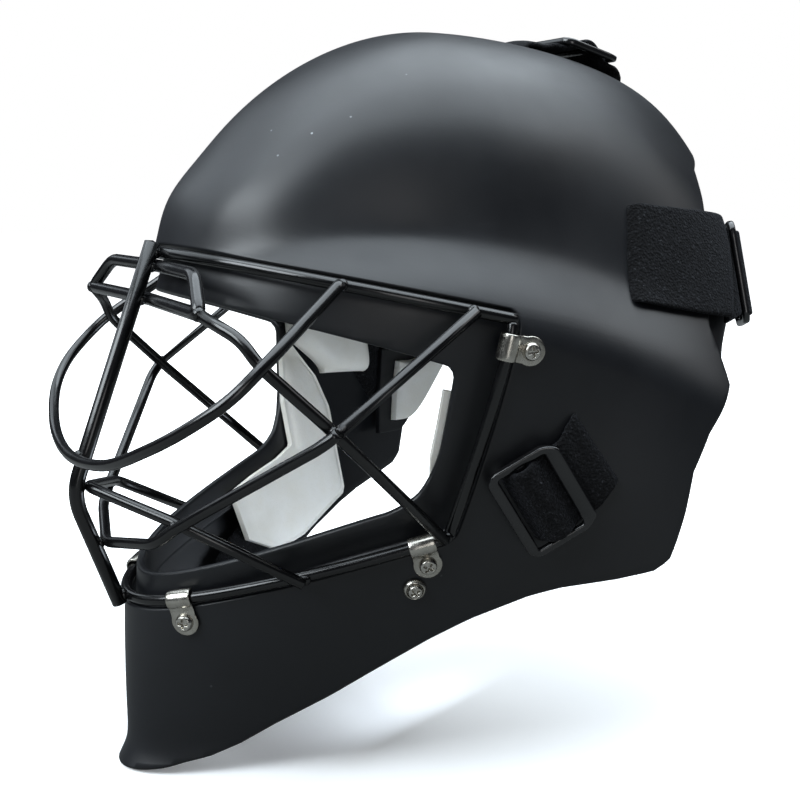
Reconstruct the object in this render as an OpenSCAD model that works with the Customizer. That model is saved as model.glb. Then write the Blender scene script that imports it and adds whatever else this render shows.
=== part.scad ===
// Field hockey goalkeeper helmet: moulded shell, welded wire cage, foam liner, hinged back plate.
// X is the wearer's left, Y points to the back of the head, Z is up. All sizes are in millimetres.

/* [Shell] */
// Half width of the shell at the belt line
half_width = 103; // [97:0.5:109]
// Wall of the moulded shell
shell_wall = 3.5; // [2.6:0.1:4.6]
// Depth of the hollow pressed into each side of the dome
scoop_depth = 14; // [9:0.5:16]
// Depth of the flange round the eye opening, at the sides
flange_side_depth = 8; // [6:0.25:9.5]
// Depth of the flange round the eye opening, at the front
flange_front_depth = 4.6; // [4:0.1:5.5]
// Corner radius of the eye opening
eye_corner_r = 4; // [2:0.5:8]

/* [Cage] */
// Diameter of the rods of the cage frame and of the curved bars
rod_d = 4.4; // [3.6:0.1:5.2]
// Diameter of the centre bar
centre_rod_d = 6; // [5:0.1:7]
// Diameter of the visor loop
visor_rod_d = 5; // [4:0.1:6]
// Depth to which two rods melt into each other at a weld
weld_depth = 0.4; // [0.2:0.05:0.8]

/* [Clips] */
// Sheet of the cage clips
clip_sheet = 1.2; // [0.8:0.1:1.6]
// Width of a cage clip where it wraps the rod
clip_width = 10; // [7:0.5:13]
// Width of the round end of a cage clip
clip_tab_d = 11; // [9.5:0.5:12]
// Shank diameter of the screws
screw_d = 3.5; // [3:0.1:4.5]
// Head diameter of the clip screws
screw_head_d = 7; // [6:0.25:8.5]
// Diameter of the cup washers under the chin strap screws
cup_washer_d = 9; // [8:0.25:9.5]

/* [Straps] */
// Width of the two upper side straps
strap_width = 36; // [30:0.5:38]
// Width of the lower side straps and of the top strap
narrow_strap_width = 32; // [26:0.5:35]
// Thickness of the elastic webbing
strap_thick = 2.2; // [1.6:0.1:2.8]
// Width of the chin strap webbing
chin_strap_width = 19; // [15:0.5:23]
// Thickness of the chin strap webbing
chin_strap_thick = 1.8; // [1.2:0.1:2.4]
// Outer length of a tri-glide buckle along the strap
buckle_length = 28; // [25:0.5:32]
// Thickness of a tri-glide buckle
buckle_thick = 3; // [2.4:0.1:3.6]

/* [Liner] */
// Thickness of the foam pads
pad_thick = 14; // [11:0.5:18]
// Sheet of the back plate
plate_thick = 2.6; // [2:0.1:3.5]
// Thickness of the foam on the back plate
back_pad_thick = 10; // [7:0.5:13]
// Wall of the chin cup
cup_wall = 2.5; // [2:0.1:3.5]

/* [Hidden] */

// air between pieces that only lie on each other
gap = 0.4;
// from the drawing's origin, the middle of the brow bar, to the floor's middle under the chin
front_y = -104;
lift = 205.5;

module placed() translate([0, front_y, lift]) children();
module both() { children(); mirror([1, 0, 0]) children(); }

// The skin of the shell
// Level curves from the crown down. Four cover the dome, then one for each 49.5 mm below the belt.
// Each holds: front length, half width, front flatness, forward run of the side, rear length,
// rearward run of the side, fullness of the rear corner, outward flare of the side.
belt_z = -40;
dome = 126;
levels = [
    [108,  96, 53, 60, 158,  80,  53,  0],
    [110,  98, 54, 61, 202, 100,  54,  0],
    [115, 101, 56, 64, 166,  88,  60,  0],
    [116, 104, 64, 66, 142,  75,  76,  2],
    [120, 103, 66, 66, 124,  60, 152, 10],
    [127,  97, 56, 62, 112,  42, 174, 15],
    [132,  86, 40, 56, 108,  34, 184, 15],
    [133,  66, 28, 48, 104,  34, 170, 12],
    [131,  50, 24, 40, 100,  34, 150, 10]];
wide = half_width / 103;
last = len(levels) - 1;
// the brow stands over Y 0, so the crown is as far back as the shell reaches forward there
crown_y = round(level(v_at(0))[0]);

function unit(a) = a / max(norm(a), 1e-9);
function clamp01(t) = min(1, max(0, t));
function ease(a, b, x) = let(t = clamp01((x - a) / (b - a))) t * t * (3 - 2 * t);
function bez(a, b, c, d, t) =
    let(s = 1 - t) s*s*s*a + 3*s*s*t*b + 3*s*t*t*c + t*t*t*d;

// smooth blend of the level curves at height number v
function level(v) =
    let(i = min(floor(v), last - 1), t = v - i, s = 1 - t)
    (s*s*s * levels[abs(i - 1)] + (3*t*t*t - 6*t*t + 4) * levels[i]
     + (3*t + 3*t*t - 3*t*t*t + 1) * levels[i + 1] + t*t*t * levels[min(i + 2, last)]) / 6;

// half plan of one level: a from 0 (front) over 1 (side) to 2 (rear)
function plan(q, a) = a <= 1
    ? [bez(0, q[2], q[1] - q[7]*q[3]/q[5], q[1], a), bez(-q[0], -q[0], -q[3], 0, a)]
    : [bez(q[1], q[1] + q[7], q[6], 0, a - 1), bez(0, q[5], q[4], q[4], a - 1)];

function skin0(u, v) =
    let(be = 90 * max(0, 1 - v/4), c = cos(be), p = plan(level(v), abs(u)),
        z = v < 4 ? belt_z + dome*sin(be) : belt_z - dome*PI/8*(v - 4))
    [sign(u)*p[0]*c*wide, crown_y + p[1]*c, z];

tick = 0.001;
function along(u, v) = skin0(u + tick, v) - skin0(u - tick, v);
function facing(u, v) =
    let(w = max(v, 0.01)) unit(cross(skin0(u, w + tick) - skin0(u, w - tick), along(u, w)));

// hollow in the side of the dome, fuller brow, rolled lip at the chin
function swell(p) =
    let(x = abs(p[0]), y = p[1], z = p[2],
        top = 56 - 38*pow(abs((y - 112)/91), 2.6),
        foot = -7 - 0.17*(y - 20) - 0.00085*(y - 20)*(y - 20),
        t = (top - z) / max(top - foot, 14),
        scoop = ease(-0.1, 0.58, t) * (1 - ease(0.56, 1.04, t)) * ease(2, 66, y)
                * (1 - 0.5*ease(140, 215, y)) * ease(10, 44, x),
        brow = 2.6 * exp(-pow((z - 19)/15, 2)) * (1 - ease(12, 50, y)),
        lip = 5 * exp(-pow((z + 207)/8, 2)) * (1 - ease(0, 60, y)))
    brow + lip - scoop_depth*scoop;

function flange_depth(p) =
    flange_front_depth + (flange_side_depth - flange_front_depth)*ease(0, 60, p[1]);

// a point on the skin, moved out along its normal by h
function skin(u, v, h = 0) = let(p = skin0(u, v)) p + facing(u, v)*(swell(p) + h);

function v_at(z) = z >= belt_z
    ? 4*(1 - asin(min(1, (z - belt_z)/dome))/90) : 4 + (belt_z - z)*8/(dome*PI);
// u of the place on the left side whose side view is (y, z)
function u_at(y, v, lo = 0, hi = 2, k = 0) =
    let(m = (lo + hi)/2) k == 22 ? m
    : skin0(m, v)[1] < y ? u_at(y, v, m, hi, k + 1) : u_at(y, v, lo, m, k + 1);
function seat(y, z, h = 0) = let(v = v_at(z), u = u_at(y, v)) skin(u, v, h);

// Solids built from points
around = 46;
rows = 26;
v_low = 7.9;

// the filled form inside the skin, its surface moved in by d, or also by the flange depth
module filled(d, flange = false) {
    ring = [for (j = [1:rows]) for (i = [0:around - 1])
        let(u = -2 + 4*i/around, v = v_low*j/rows, p = skin0(u, v))
        p + facing(u, v)*(swell(p) - d - (flange ? flange_depth(p) : 0))];
    top = skin0(0, 0) - [0, 0, d + (flange ? flange_side_depth : 0)];
    low = [0, crown_y, skin0(0, v_low)[2]];
    n = len(ring);
    faces = concat(
        [for (i = [0:around - 1]) [n, (i + 1) % around, i]],
        [for (j = [0:rows - 2]) for (i = [0:around - 1]) for (k = [0, 1])
            let(a = j*around + i, b = j*around + (i + 1) % around)
            i < around/2 ? (k == 0 ? [a, b, b + around] : [a, b + around, a + around])
                : (k == 0 ? [a, b, a + around] : [b, b + around, a + around])],
        [for (i = [0:around - 1])
            let(a = (rows - 1)*around) [n + 1, a + i, a + (i + 1) % around]]);
    polyhedron(concat(ring, [top, low]), faces, convexity = 8);
}

// closed solid between two grids of points, the lower and the upper face of a sheet
module slab(lower, upper) {
    n = len(lower);
    m = len(lower[0]);
    pts = concat([for (r = lower) for (p = r) p], [for (r = upper) for (p = r) p]);
    s = n*m;
    rim = concat([for (i = [0:n - 1]) i*m], [for (j = [1:m - 1]) (n - 1)*m + j],
        [for (i = [n - 2:-1:0]) i*m + m - 1], [for (j = [m - 2:-1:1]) j]);
    c = len(rim);
    faces = concat(
        [for (i = [0:n - 2]) for (j = [0:m - 2]) for (k = [0, 1])
            let(a = i*m + j) k == 0 ? [a, a + m, a + m + 1] : [a, a + m + 1, a + 1]],
        [for (i = [0:n - 2]) for (j = [0:m - 2]) for (k = [0, 1])
            let(a = s + i*m + j) k == 0 ? [a, a + m + 1, a + m] : [a, a + 1, a + m + 1]],
        [for (i = [0:c - 1]) for (k = [0, 1])
            let(a = rim[i], b = rim[(i + 1) % c]) k == 0 ? [a, s + a, s + b] : [a, s + b, b]]);
    polyhedron(pts, faces, convexity = 6);
}

// a corner of a path turned into a short curve; each path entry is [point, trim]
function bent(path, steps = 4) = [for (i = [0:len(path) - 1])
    let(p = path[i][0], d = path[i][1])
    each (i == 0 || i == len(path) - 1 || d == 0) ? [p]
        : let(a = p + unit(path[i - 1][0] - p)*d, b = p + unit(path[i + 1][0] - p)*d)
          [for (k = [0:steps]) let(t = k/steps, s = 1 - t) s*s*a + 2*s*t*p + t*t*b]];
function tangent(p, i) = unit(p[min(i + 1, len(p) - 1)] - p[max(i - 1, 0)]);
function square_to(r, t) = unit(r - t*(r*t));

// a round rod along points
module rod(p, d, sides = 9) {
    n = len(p);
    r0 = d/2/cos(180/sides);
    t0 = tangent(p, 0);
    first = square_to(abs(t0[0]) < 0.8 ? [1, 0, 0] : [0, 1, 0], t0);
    frames = [for (i = 0, r = first; i < n; i = i + 1,
        r = i < n ? square_to(r, tangent(p, i)) : r) r];
    pts = [for (i = [0:n - 1]) for (k = [0:sides - 1])
        let(t = tangent(p, i), a = 360*k/sides, r = frames[i])
        p[i] + r0*(cos(a)*r + sin(a)*cross(t, r))];
    faces = concat(
        [for (i = [0:n - 2]) for (k = [0:sides - 1]) for (h = [0, 1])
            let(a = i*sides + k, b = i*sides + (k + 1) % sides)
            h == 0 ? [a, b + sides, b] : [a, a + sides, b + sides]],
        [for (k = [1:sides - 2]) [0, k, k + 1]],
        [for (k = [1:sides - 2]) let(e = (n - 1)*sides) [e, e + k + 1, e + k]]);
    polyhedron(pts, faces, convexity = 4);
}

// children stand on the skin at (y, z) of the left side: X back, Y up, Z out, then turned
module on_skin(y, z, turn = 0) {
    v = v_at(z);
    u = u_at(y, v);
    n = facing(u, v);
    e = square_to(unit(along(u, v)), n);
    f = cross(n, e);
    p = skin(u, v);
    multmatrix([[e[0], f[0], n[0], p[0]], [e[1], f[1], n[1], p[1]], [e[2], f[2], n[2], p[2]]])
        rotate([0, 0, turn]) children();
}

module side_view(h = 500) rotate([90, 0, 90]) linear_extrude(height = h, center = true) children();

// Outlines in the side view, [y, z]
rim = [[-80, -206], [-16, -205.5], [-5, -202.5], [1, -200.2], [10, -197.6], [20, -192.7],
    [31.5, -184.8], [51, -172.7], [68, -160.4], [84, -149], [97.5, -140.6], [117, -131.5],
    [128, -127.7], [145, -124], [158, -120.4], [163.3, -116], [165.5, -108], [168, -98],
    [171, -82], [178, -68], [192, -51], [194, -26], [207, 15], [214, 30], [290, 64],
    [290, 120], [-80, 120]];
eye = [[-100, 17.4], [82.7, -42.4], [78.9, -84.5], [70.5, -97], [-100, -154]];
// the cage frame: rear upper corner, rear lower corner, and the slopes of its two long bars
frame_top = [100.3, -22.6];
frame_low = [84.5, -104.5];
brow_slope = -0.219;
jaw_slope = 0.31;
rear_dir = unit(frame_low - frame_top);
rear_out = [-rear_dir[1], rear_dir[0]];
jaw_dir = -unit([1, jaw_slope]);
jaw_out = unit([jaw_slope, -1]);
window = [frame_top - [200, 200*brow_slope], frame_top, frame_low,
    frame_low - [200, 200*jaw_slope]];

// distance of two welded rods
touch = rod_d - weld_depth;
// height of the frame's rods above the skin
rail_h = rod_d/2 - 1;
// the jaw bar sinks this much deeper at the chin
jaw_dip = 1.8;
// the flange starts this far outside the frame's centre line
window_gap = rod_d/2 + gap;
// wall of the step between skin and flange
riser = 0.63*shell_wall;

// Fasteners
nut_h = 2.6;
nut_d = 1.7*screw_d;
head_h = 2.2;
clip_reach = window_gap + riser + nut_d/2 + 2.5*gap;
// each clip: its foot on the frame in the side view, the way of the rod there, the side of its tab
clips = [[frame_top + rear_dir*10, rear_dir, rear_out],
    [frame_low + jaw_dir*9, jaw_dir, jaw_out],
    [frame_low + jaw_dir*90, jaw_dir, jaw_out]];
function skin_normal(p) = facing(u_at(p[0], v_at(p[1])), v_at(p[1]));
// the tab lies across the rod, on the skin
function clip_way(c) =
    let(t = unit(seat(c[0][0] + 2*c[1][0], c[0][1] + 2*c[1][1])
                 - seat(c[0][0] - 2*c[1][0], c[0][1] - 2*c[1][1])),
        g = unit(cross(skin_normal(c[0]), t)))
    g*(g[1]*c[2][0] + g[2]*c[2][1] > 0 ? 1 : -1);
function clip_screw(c) = let(g = clip_way(c)) c[0] + clip_reach*[g[1], g[2]];
// the chin strap screw sits under the second clip
strap_anchor = clip_screw(clips[1]) + unit([-0.3, -0.95])*((clip_tab_d + cup_washer_d)/2 + 0.9);

module side_hole(at, d, deep = 14) {
    on_skin(at[0], at[1]) hull() {
        translate([0, 0, -deep]) cylinder(d = d, h = 1, $fn = 20);
        translate([0, 0, 5]) cylinder(d = d, h = 1, $fn = 20);
    }
}

// slot in the shell for webbing of width w, at distance s of its run
module slot_cut(map, s, w)
    slab([for (c = [-0.5, -0.167, 0.167, 0.5]) [for (h = [-9, 0, 7]) map(s - slot_h/2, c*w, h)]],
        [for (c = [-0.5, -0.167, 0.167, 0.5]) [for (h = [-9, 0, 7]) map(s + slot_h/2, c*w, h)]]);

// Shell
module shell() placed() color([0.13, 0.135, 0.15]) difference() {
    intersection() {
        side_view() polygon(rim);
        difference() {
            union() {
                difference() {
                    filled(0);
                    side_view() offset(delta = window_gap) polygon(window);
                }
                filled(0, true);
            }
            union() {
                difference() {
                    filled(shell_wall);
                    side_view() offset(delta = window_gap + riser) polygon(window);
                }
                filled(shell_wall, true);
            }
        }
    }
    side_view() offset(r = eye_corner_r, $fn = 40) offset(delta = -eye_corner_r) polygon(eye);
    both() {
        for (c = clips) side_hole(clip_screw(c), screw_d + 2*gap);
        side_hole(strap_anchor, screw_d + 2*gap);
        place_slots();
    }
    top_slot();
}

// Cage
function on_line(u, z0, y0, k, z, n = 5) =
    n == 0 ? z : on_line(u, z0, y0, k, z0 + k*(skin0(u, v_at(z))[1] - y0), n - 1);
function rail_line(u, p, k, dip = 0) =
    let(z = on_line(u, p[1], p[0], k, p[1]), q = skin0(u, v_at(z)))
    skin(u, v_at(z), rail_h - dip*(1 - ease(0, 60, q[1])));
u_top = u_at(frame_top[0], v_at(frame_top[1]));
u_low = u_at(frame_low[0], v_at(frame_low[1]));
brow_path = [for (i = [-11:11]) rail_line(i/11*(u_top + 0.006), frame_top, brow_slope)];
jaw_path = [for (i = [-12:12]) rail_line(i/12*u_low, frame_low, jaw_slope, jaw_dip)];
brow_mid = brow_path[11];
jaw_mid = jaw_path[12];

module cage_colour() color([0.06, 0.06, 0.065]) children();
module brow_bar() placed() cage_colour() rod(brow_path, rod_d);
module jaw_bar() placed() cage_colour() rod(jaw_path, rod_d);

rear_top = seat(frame_top[0], frame_top[1], rail_h);
rear_low = seat(frame_low[0], frame_low[1], rail_h);
module side_bar() {
    mid = [for (t = [0.15:0.14:0.86])
        let(p = frame_top + t*(frame_low - frame_top)) seat(p[0], p[1], rail_h)];
    s = rod_d/2 - weld_depth;
    rod(concat([rear_top + unit(mid[0] - rear_top)*s], mid,
        [rear_low + unit(mid[len(mid) - 1] - rear_low)*s]), rod_d);
}
module side_bar_left() placed() cage_colour() side_bar();
module side_bar_right() placed() cage_colour() mirror([1, 0, 0]) side_bar();

// centre bar, in front of the brow bar and of the jaw bar
centre_touch = (centre_rod_d + rod_d)/2 - weld_depth;
centre_knee = [0, -34.2, -92.9];
centre_high = brow_mid - [0, centre_touch*1.06, 0];
centre_top = centre_high + unit(centre_high - centre_knee)*4;
centre_low = jaw_mid - [0, centre_touch/cos(atan2(-20 - centre_knee[1], 36)), 0];
centre_end = centre_low + unit(centre_low - centre_knee)*3.5;
module centre_bar() placed() cage_colour()
    rod(bent([[centre_top, 0], [centre_knee, 9], [centre_end, 0]], 5), centre_rod_d, 12);
function y_between(a, b, z) = a[1] + (z - a[2])*(b[1] - a[1])/(b[2] - a[2]);
function centre_y(z) = z > centre_knee[2] ? y_between(centre_top, centre_knee, z)
    : y_between(centre_knee, centre_low, z);

// visor loop, behind the centre bar
visor_back = ((centre_rod_d + visor_rod_d)/2 - weld_depth)*1.07;
// the corners stand this much further forward than the middle
visor_bow = [0, 3.5, 0];
visor_low = [69.9*wide, centre_y(-18.5) + visor_back, -19];
visor_high = [53*wide, centre_y(-6.5) + visor_back, -6.5];
visor_half = bent([[[0, visor_high[1], visor_high[2]], 0], [visor_high - visor_bow, 6],
    [visor_low - visor_bow, 6], [[0, visor_low[1], visor_low[2]], 0]], 4);
module visor_loop() placed() cage_colour()
    ring_rod(concat(visor_half, [for (i = [len(visor_half) - 2:-1:1]) other(visor_half[i])]),
        visor_rod_d);

// closed loop of rod in one plane
module ring_rod(p, d, sides = 9) {
    n = len(p);
    r0 = d/2/cos(180/sides);
    up = unit(cross(p[2] - p[0], p[floor(n/2)] - p[0]));
    pts = [for (i = [0:n - 1]) for (k = [0:sides - 1])
        let(a = p[(i + n - 1) % n], b = p[(i + 1) % n], t = unit(unit(b - p[i]) + unit(p[i] - a)),
            g = 360*k/sides)
        p[i] + r0*(cos(g)*up + sin(g)*cross(t, up))];
    faces = [for (i = [0:n - 1]) for (k = [0:sides - 1]) for (h = [0, 1])
        let(j = (i + 1) % n, m = (k + 1) % sides)
        h == 0 ? [i*sides + k, j*sides + m, i*sides + m] : [i*sides + k, j*sides + k, j*sides + m]];
    polyhedron(pts, faces, convexity = 6);
}

function other(p) = [-p[0], p[1], p[2]];
function w3(p) = [p[0]*wide, p[1], p[2]];
// point where a second rod passes behind the rod through p; t1 and t2 are the two directions
function behind(p, t1, t2, d = touch) =
    let(n = unit(cross(t1, t2)), s = n*[p[0], p[1] - 90, 0] > 0 ? 1 : -1) p - n*s*d;
function smooth(p, k = 4) = concat([for (i = [0:len(p) - 2]) for (j = [0:k - 1])
    let(t = j/k, a = p[max(i - 1, 0)], b = p[i], c = p[i + 1], d = p[min(i + 2, len(p) - 1)])
    0.5*(2*b + (c - a)*t + (2*a - 5*b + 4*c - d)*t*t + (3*b - a - 3*c + d)*t*t*t)],
    [p[len(p) - 1]]);

// crossings of the curved bars on the left side
cross_c = w3([95.2, 8.3, -33.6]);
cross_d = w3([99.2, 31.9, -58.2]);
cross_e = w3([43.2, -8.5, -99.9]);

upper_start = seat(44, frame_top[1] + brow_slope*(44 - frame_top[0]), rail_h + touch - 0.35);
upper_half = concat([upper_start, (upper_start + cross_c)/2], [cross_c],
    [for (p = [[95, -4.2, -44.4], [86.5, -15.1, -54], [68.9, -24, -63.8], [38.3, -31, -74.3]])
        w3(p)]);
upper_mid = [0, centre_y(-78) - centre_touch*1.06, -78];
module upper_u_bar() placed() cage_colour()
    rod(smooth(concat(upper_half, [upper_mid],
        [for (i = [len(upper_half) - 1:-1:0]) other(upper_half[i])]), 3), rod_d);

lower_start = seat(86, frame_top[1] + brow_slope*(86 - frame_top[0]), rail_h + touch);
lower_mid = [0, centre_y(-113) + centre_touch, -113];
lower_half = [[lower_start, 0], [cross_d, 0], [w3([98.1, 28.2, -61.6]), 7],
    [w3([53.3, -1.4, -92.5]), 0], [cross_e, 0], [w3([36.5, -13.3, -106.2]), 7]];
module lower_u_bar() placed() cage_colour()
    rod(bent(concat(lower_half, [[lower_mid, 5]],
        [for (i = [len(lower_half) - 1:-1:0]) [other(lower_half[i][0]), lower_half[i][1]]]), 4),
        rod_d);

cat_end = seat(frame_low[0] - 1.5, frame_low[1] + 1, rail_h + touch - 0.4);
cat_c = behind(cross_c, cross_c - upper_start, cross_d - cross_c);
cat_d = behind(cross_d, cross_d - lower_start, cat_end - cross_d);
cat_bend = w3([85.6, 3.1, -26.2]);
module cat_eye_bar() {
    corner = visor_low - visor_bow;
    a = corner - 0.3*unit(cat_bend - corner);
    rod(bent([[a, 0], [cat_bend, 5], [cat_c, 5], [cat_d, 8], [cat_end, 0]], 4), rod_d);
}
module cat_eye_bar_left() placed() cage_colour() cat_eye_bar();
module cat_eye_bar_right() placed() cage_colour() mirror([1, 0, 0]) cat_eye_bar();

v_u = 0.545;
v_start = rail_line(v_u, frame_low, jaw_slope) + (touch - 0.3)*facing(v_u, v_at(-120)) - [0, 0, 1];
v_e = behind(cross_e, cross_e - w3([53.3, -1.4, -92.5]), cross_e - v_start);
v_mid = [0, centre_y(-90) + centre_touch*0.95, -90];
module v_bar() placed() cage_colour()
    rod(bent([[v_start, 0], [v_e, 6], [v_mid, 6], [other(v_e), 6], [other(v_start), 0]], 4), rod_d);

// Clips and screws
function frame_h(c) = c[2] == rear_out ? rail_h : rail_h - jaw_dip*(1 - ease(0, 60, c[0][0]));
function reversed(a) = [for (i = [len(a) - 1:-1:0]) a[i]];
// a flat path moved sideways by d, its corners mitred
function shifted(a, d) = [for (i = [0:len(a) - 1])
    let(p = i > 0 ? unit(a[i] - a[i - 1]) : unit(a[1] - a[0]),
        q = i < len(a) - 1 ? unit(a[i + 1] - a[i]) : p, m = unit(p + q))
    a[i] + [-m[1], m[0]]*d/(m*p)];

// a screw stands on the skin at its place; the clip's X then points to the rod
module at_clip(c) {
    at = clip_screw(c);
    p = seat(at[0], at[1]);
    n = skin_normal(at);
    r = seat(c[0][0], c[0][1], frame_h(c)) - p;
    e = square_to(-clip_way(c), n);
    f = cross(n, e);
    $reach = r*e;
    $height = r*n;
    multmatrix([[e[0], f[0], n[0], p[0]], [e[1], f[1], n[1], p[1]], [e[2], f[2], n[2], p[2]]])
        children();
}
module clip() {
    rho = rod_d/2 + 0.4 + clip_sheet/2;
    low = gap + clip_sheet/2;
    a0 = 180 - asin(min(0.9, (low - $height)/rho));
    steps = 7;
    path = concat([[-1, low], [$reach + rho*cos(a0) - 0.8, low]],
        [for (i = [0:steps]) let(a = a0 - 14 - i*(a0 - 14 + 40)/steps)
            [$reach + rho*cos(a), $height + rho*sin(a)]]);
    difference() {
        union() {
            translate([0, 0, gap]) cylinder(d = clip_tab_d, h = clip_sheet, $fn = 40);
            rotate([90, 0, 0]) linear_extrude(height = clip_width, center = true)
                polygon(concat(shifted(path, clip_sheet/2), reversed(shifted(path, -clip_sheet/2))));
        }
        translate([0, 0, -1]) cylinder(d = screw_d + gap, h = 9, $fn = 24);
    }
}
module cage_clips() placed() color([0.72, 0.71, 0.68]) both() for (c = clips) at_clip(c) clip();

// pan head screw: its head rests at height z, its shank reaches down to -deep
module screw(z, deep, head = screw_head_d) {
    difference() {
        rotate_extrude($fn = 40) polygon([[0, z], [head/2, z], [head/2, z + 0.4*head_h],
            [0.42*head, z + 0.75*head_h], [0.25*head, z + head_h], [0, z + head_h]]);
        for (a = [20, 110]) rotate([0, 0, a])
            translate([-0.29*head, -0.55, z + 0.45*head_h]) cube([0.58*head, 1.1, head_h]);
    }
    translate([0, 0, -deep]) cylinder(d = screw_d, h = deep + z + 0.3*head_h, $fn = 20);
}
module nut(top) translate([0, 0, -top - nut_h]) difference() {
    cylinder(d = nut_d, h = nut_h, $fn = 6);
    translate([0, 0, -1]) cylinder(d = screw_d + 0.1, h = nut_h + 2, $fn = 24);
}
nut_top = shell_wall + 3.5*gap;
strap_nut_top = shell_wall + chin_strap_thick + 4.5*gap;
washer_h = 1.8;
module clip_screws() placed() color([0.75, 0.74, 0.72]) both() for (c = clips)
    at_clip(c) screw(gap + clip_sheet, nut_top + nut_h + 0.6);
module clip_nuts() placed() color([0.6, 0.6, 0.62]) both() {
    for (c = clips) at_clip(c) nut(nut_top);
    on_skin(strap_anchor[0], strap_anchor[1]) nut(strap_nut_top);
}
module strap_screws() placed() color([0.75, 0.74, 0.72]) both()
    on_skin(strap_anchor[0], strap_anchor[1], 15)
        screw(gap + 0.6*washer_h, strap_nut_top + nut_h + 0.6, cup_washer_d*0.68);
module cup_washers() placed() color([0.68, 0.67, 0.65]) both()
    on_skin(strap_anchor[0], strap_anchor[1])
        rotate_extrude($fn = 40) polygon([[screw_d/2 + 0.2, gap], [cup_washer_d/2, gap],
            [cup_washer_d/2 - 0.9, gap + washer_h], [cup_washer_d*0.34 + 0.15, gap + washer_h],
            [cup_washer_d*0.34 + 0.15, gap + 0.6*washer_h], [screw_d/2 + 0.2, gap + 0.6*washer_h]]);

// Straps: drawn flat as height h over distance s, then laid over the skin
function run_table(f, a, b, n) = [for (i = 0, t = a, s = 0, p = f(a); i <= n;
    i = i + 1, t = a + (b - a)*i/n, q = f(t), s = s + norm(q - p), p = q) [s, t]];
// middle of the upper strap at its slot; it runs down a little to the back
upper_z = 2;
upper_fall = -0.17;
upper_slot_y = 162;
upper_u0 = u_at(upper_slot_y, v_at(upper_z));
upper_run = run_table(function (u) skin0(u, v_at(upper_z - 4)), upper_u0 - 0.2, 2, 36);
upper_s0 = lookup(upper_u0, [for (r = upper_run) [r[1], r[0]]]);
upper_map = function (s, c, h)
    skin(lookup(s + upper_s0 - upper_fall*c, upper_run), v_at(upper_z + upper_fall*s + c), h);

// middle of the lower buckle in the side view
lower_mid_yz = [114.5, -89];
lower_turn = 33.5;
// behind the buckle the webbing is drawn up by this much of its run
lower_skew = 0.35;
lower_map = function (s, c, h) let(d = c + lower_skew*max(0, s - buckle_length/2))
    seat(lower_mid_yz[0] + s*cos(lower_turn) - d*sin(lower_turn),
        lower_mid_yz[1] + s*sin(lower_turn) + d*cos(lower_turn), h);

top_v0 = 0.45;
top_run = run_table(function (v) skin0(2, v), top_v0, 4, 50);
function u_of_width(x, v, lo = 1, hi = 2, k = 0) =
    let(m = (lo + hi)/2) k == 14 ? m
    : skin0(m, v)[0] > x ? u_of_width(x, v, m, hi, k + 1) : u_of_width(x, v, lo, m, k + 1);
// height number of the place at width x that lies square to the run's way t at p
function v_beside(x, p, t, lo, hi, k = 0) =
    let(m = (lo + hi)/2) k == 12 ? m
    : (skin0(u_of_width(x, m), m) - p)*t < 0 ? v_beside(x, p, t, m, hi, k + 1)
    : v_beside(x, p, t, lo, m, k + 1);
top_map = function (s, c, h)
    let(v0 = lookup(s, top_run), p = skin0(2, v0),
        t = unit(skin0(2, v0 + 0.05) - skin0(2, v0 - 0.05)),
        v = v_beside(abs(c), p, t, max(0.4, v0 - 0.3), min(4, v0 + 1)),
        q = skin(u_of_width(abs(c), v), v, h))
    [c > 0 ? -q[0] : q[0], q[1], q[2]];

strap_in = shell_wall + 4.5*gap + strap_thick/2;
strap_out = 2*gap + strap_thick/2;
buckle_low = strap_thick + 3*gap;
// end bars and middle bar of a tri-glide
bar_end = 4.5;
bar_mid = 4;
over = buckle_low + buckle_thick + gap + strap_thick/2 + 0.4;
// path from height low over the middle bar of a buckle at distance s
function glide(s, low = strap_out) = let(top = over - strap_out + low)
    [[s - buckle_length/2 + bar_end + 0.7, low], [s - bar_mid/2 - 0.6, top],
        [s + bar_mid/2 + 0.6, top], [s + buckle_length/2 - bar_end - 0.7, low]];

// webbing lies flat where it runs through a buckle, on the highest points of the skin there
laid = function (map, s0)
    let(r = buckle_length/2, q = 15, e = unit(map(s0 + r, 0, 0) - map(s0 - r, 0, 0)),
        n = unit(cross(e, map(s0, q, 0) - map(s0, -q, 0))), f = cross(n, e), m = map(s0, 0, 0),
        rise = max([for (i = [-r, 0, r]) for (j = [-q, 0, q]) n*(map(s0 + i, j, 0) - m)]),
        o = m + n*rise)
    function (s, c, h) let(w = 1 - ease(r + 1, r + 8, abs(s - s0)))
        w == 0 ? map(s, c, h) : w*(o + e*(s - s0) + f*c + n*h) + (1 - w)*map(s, c, h);

module strap(map, path, w) {
    lo = shifted(path, -strap_thick/2);
    hi = shifted(path, strap_thick/2);
    lanes = [for (i = [0:3]) w*(i/3 - 0.5)];
    slab([for (p = lo) [for (c = lanes) map(p[0], c, p[1])]],
        [for (p = hi) [for (c = lanes) map(p[0], c, p[1])]]);
}
module on_strap(map, s, h) {
    o = map(s, 0, h);
    e = unit(map(s + 2, 0, h) - map(s - 2, 0, h));
    n = unit(cross(e, map(s, 2, h) - map(s, -2, h)));
    f = cross(n, e);
    multmatrix([[e[0], f[0], n[0], o[0]], [e[1], f[1], n[1], o[1]], [e[2], f[2], n[2], o[2]]])
        children();
}
module round_rect(a, b, r) {
    square([a - 2*r, b], center = true);
    square([a, b - 2*r], center = true);
    for (i = [-1, 1]) for (j = [-1, 1]) translate([i*(a/2 - r), j*(b/2 - r)]) circle(r, $fn = 24);
}
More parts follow.
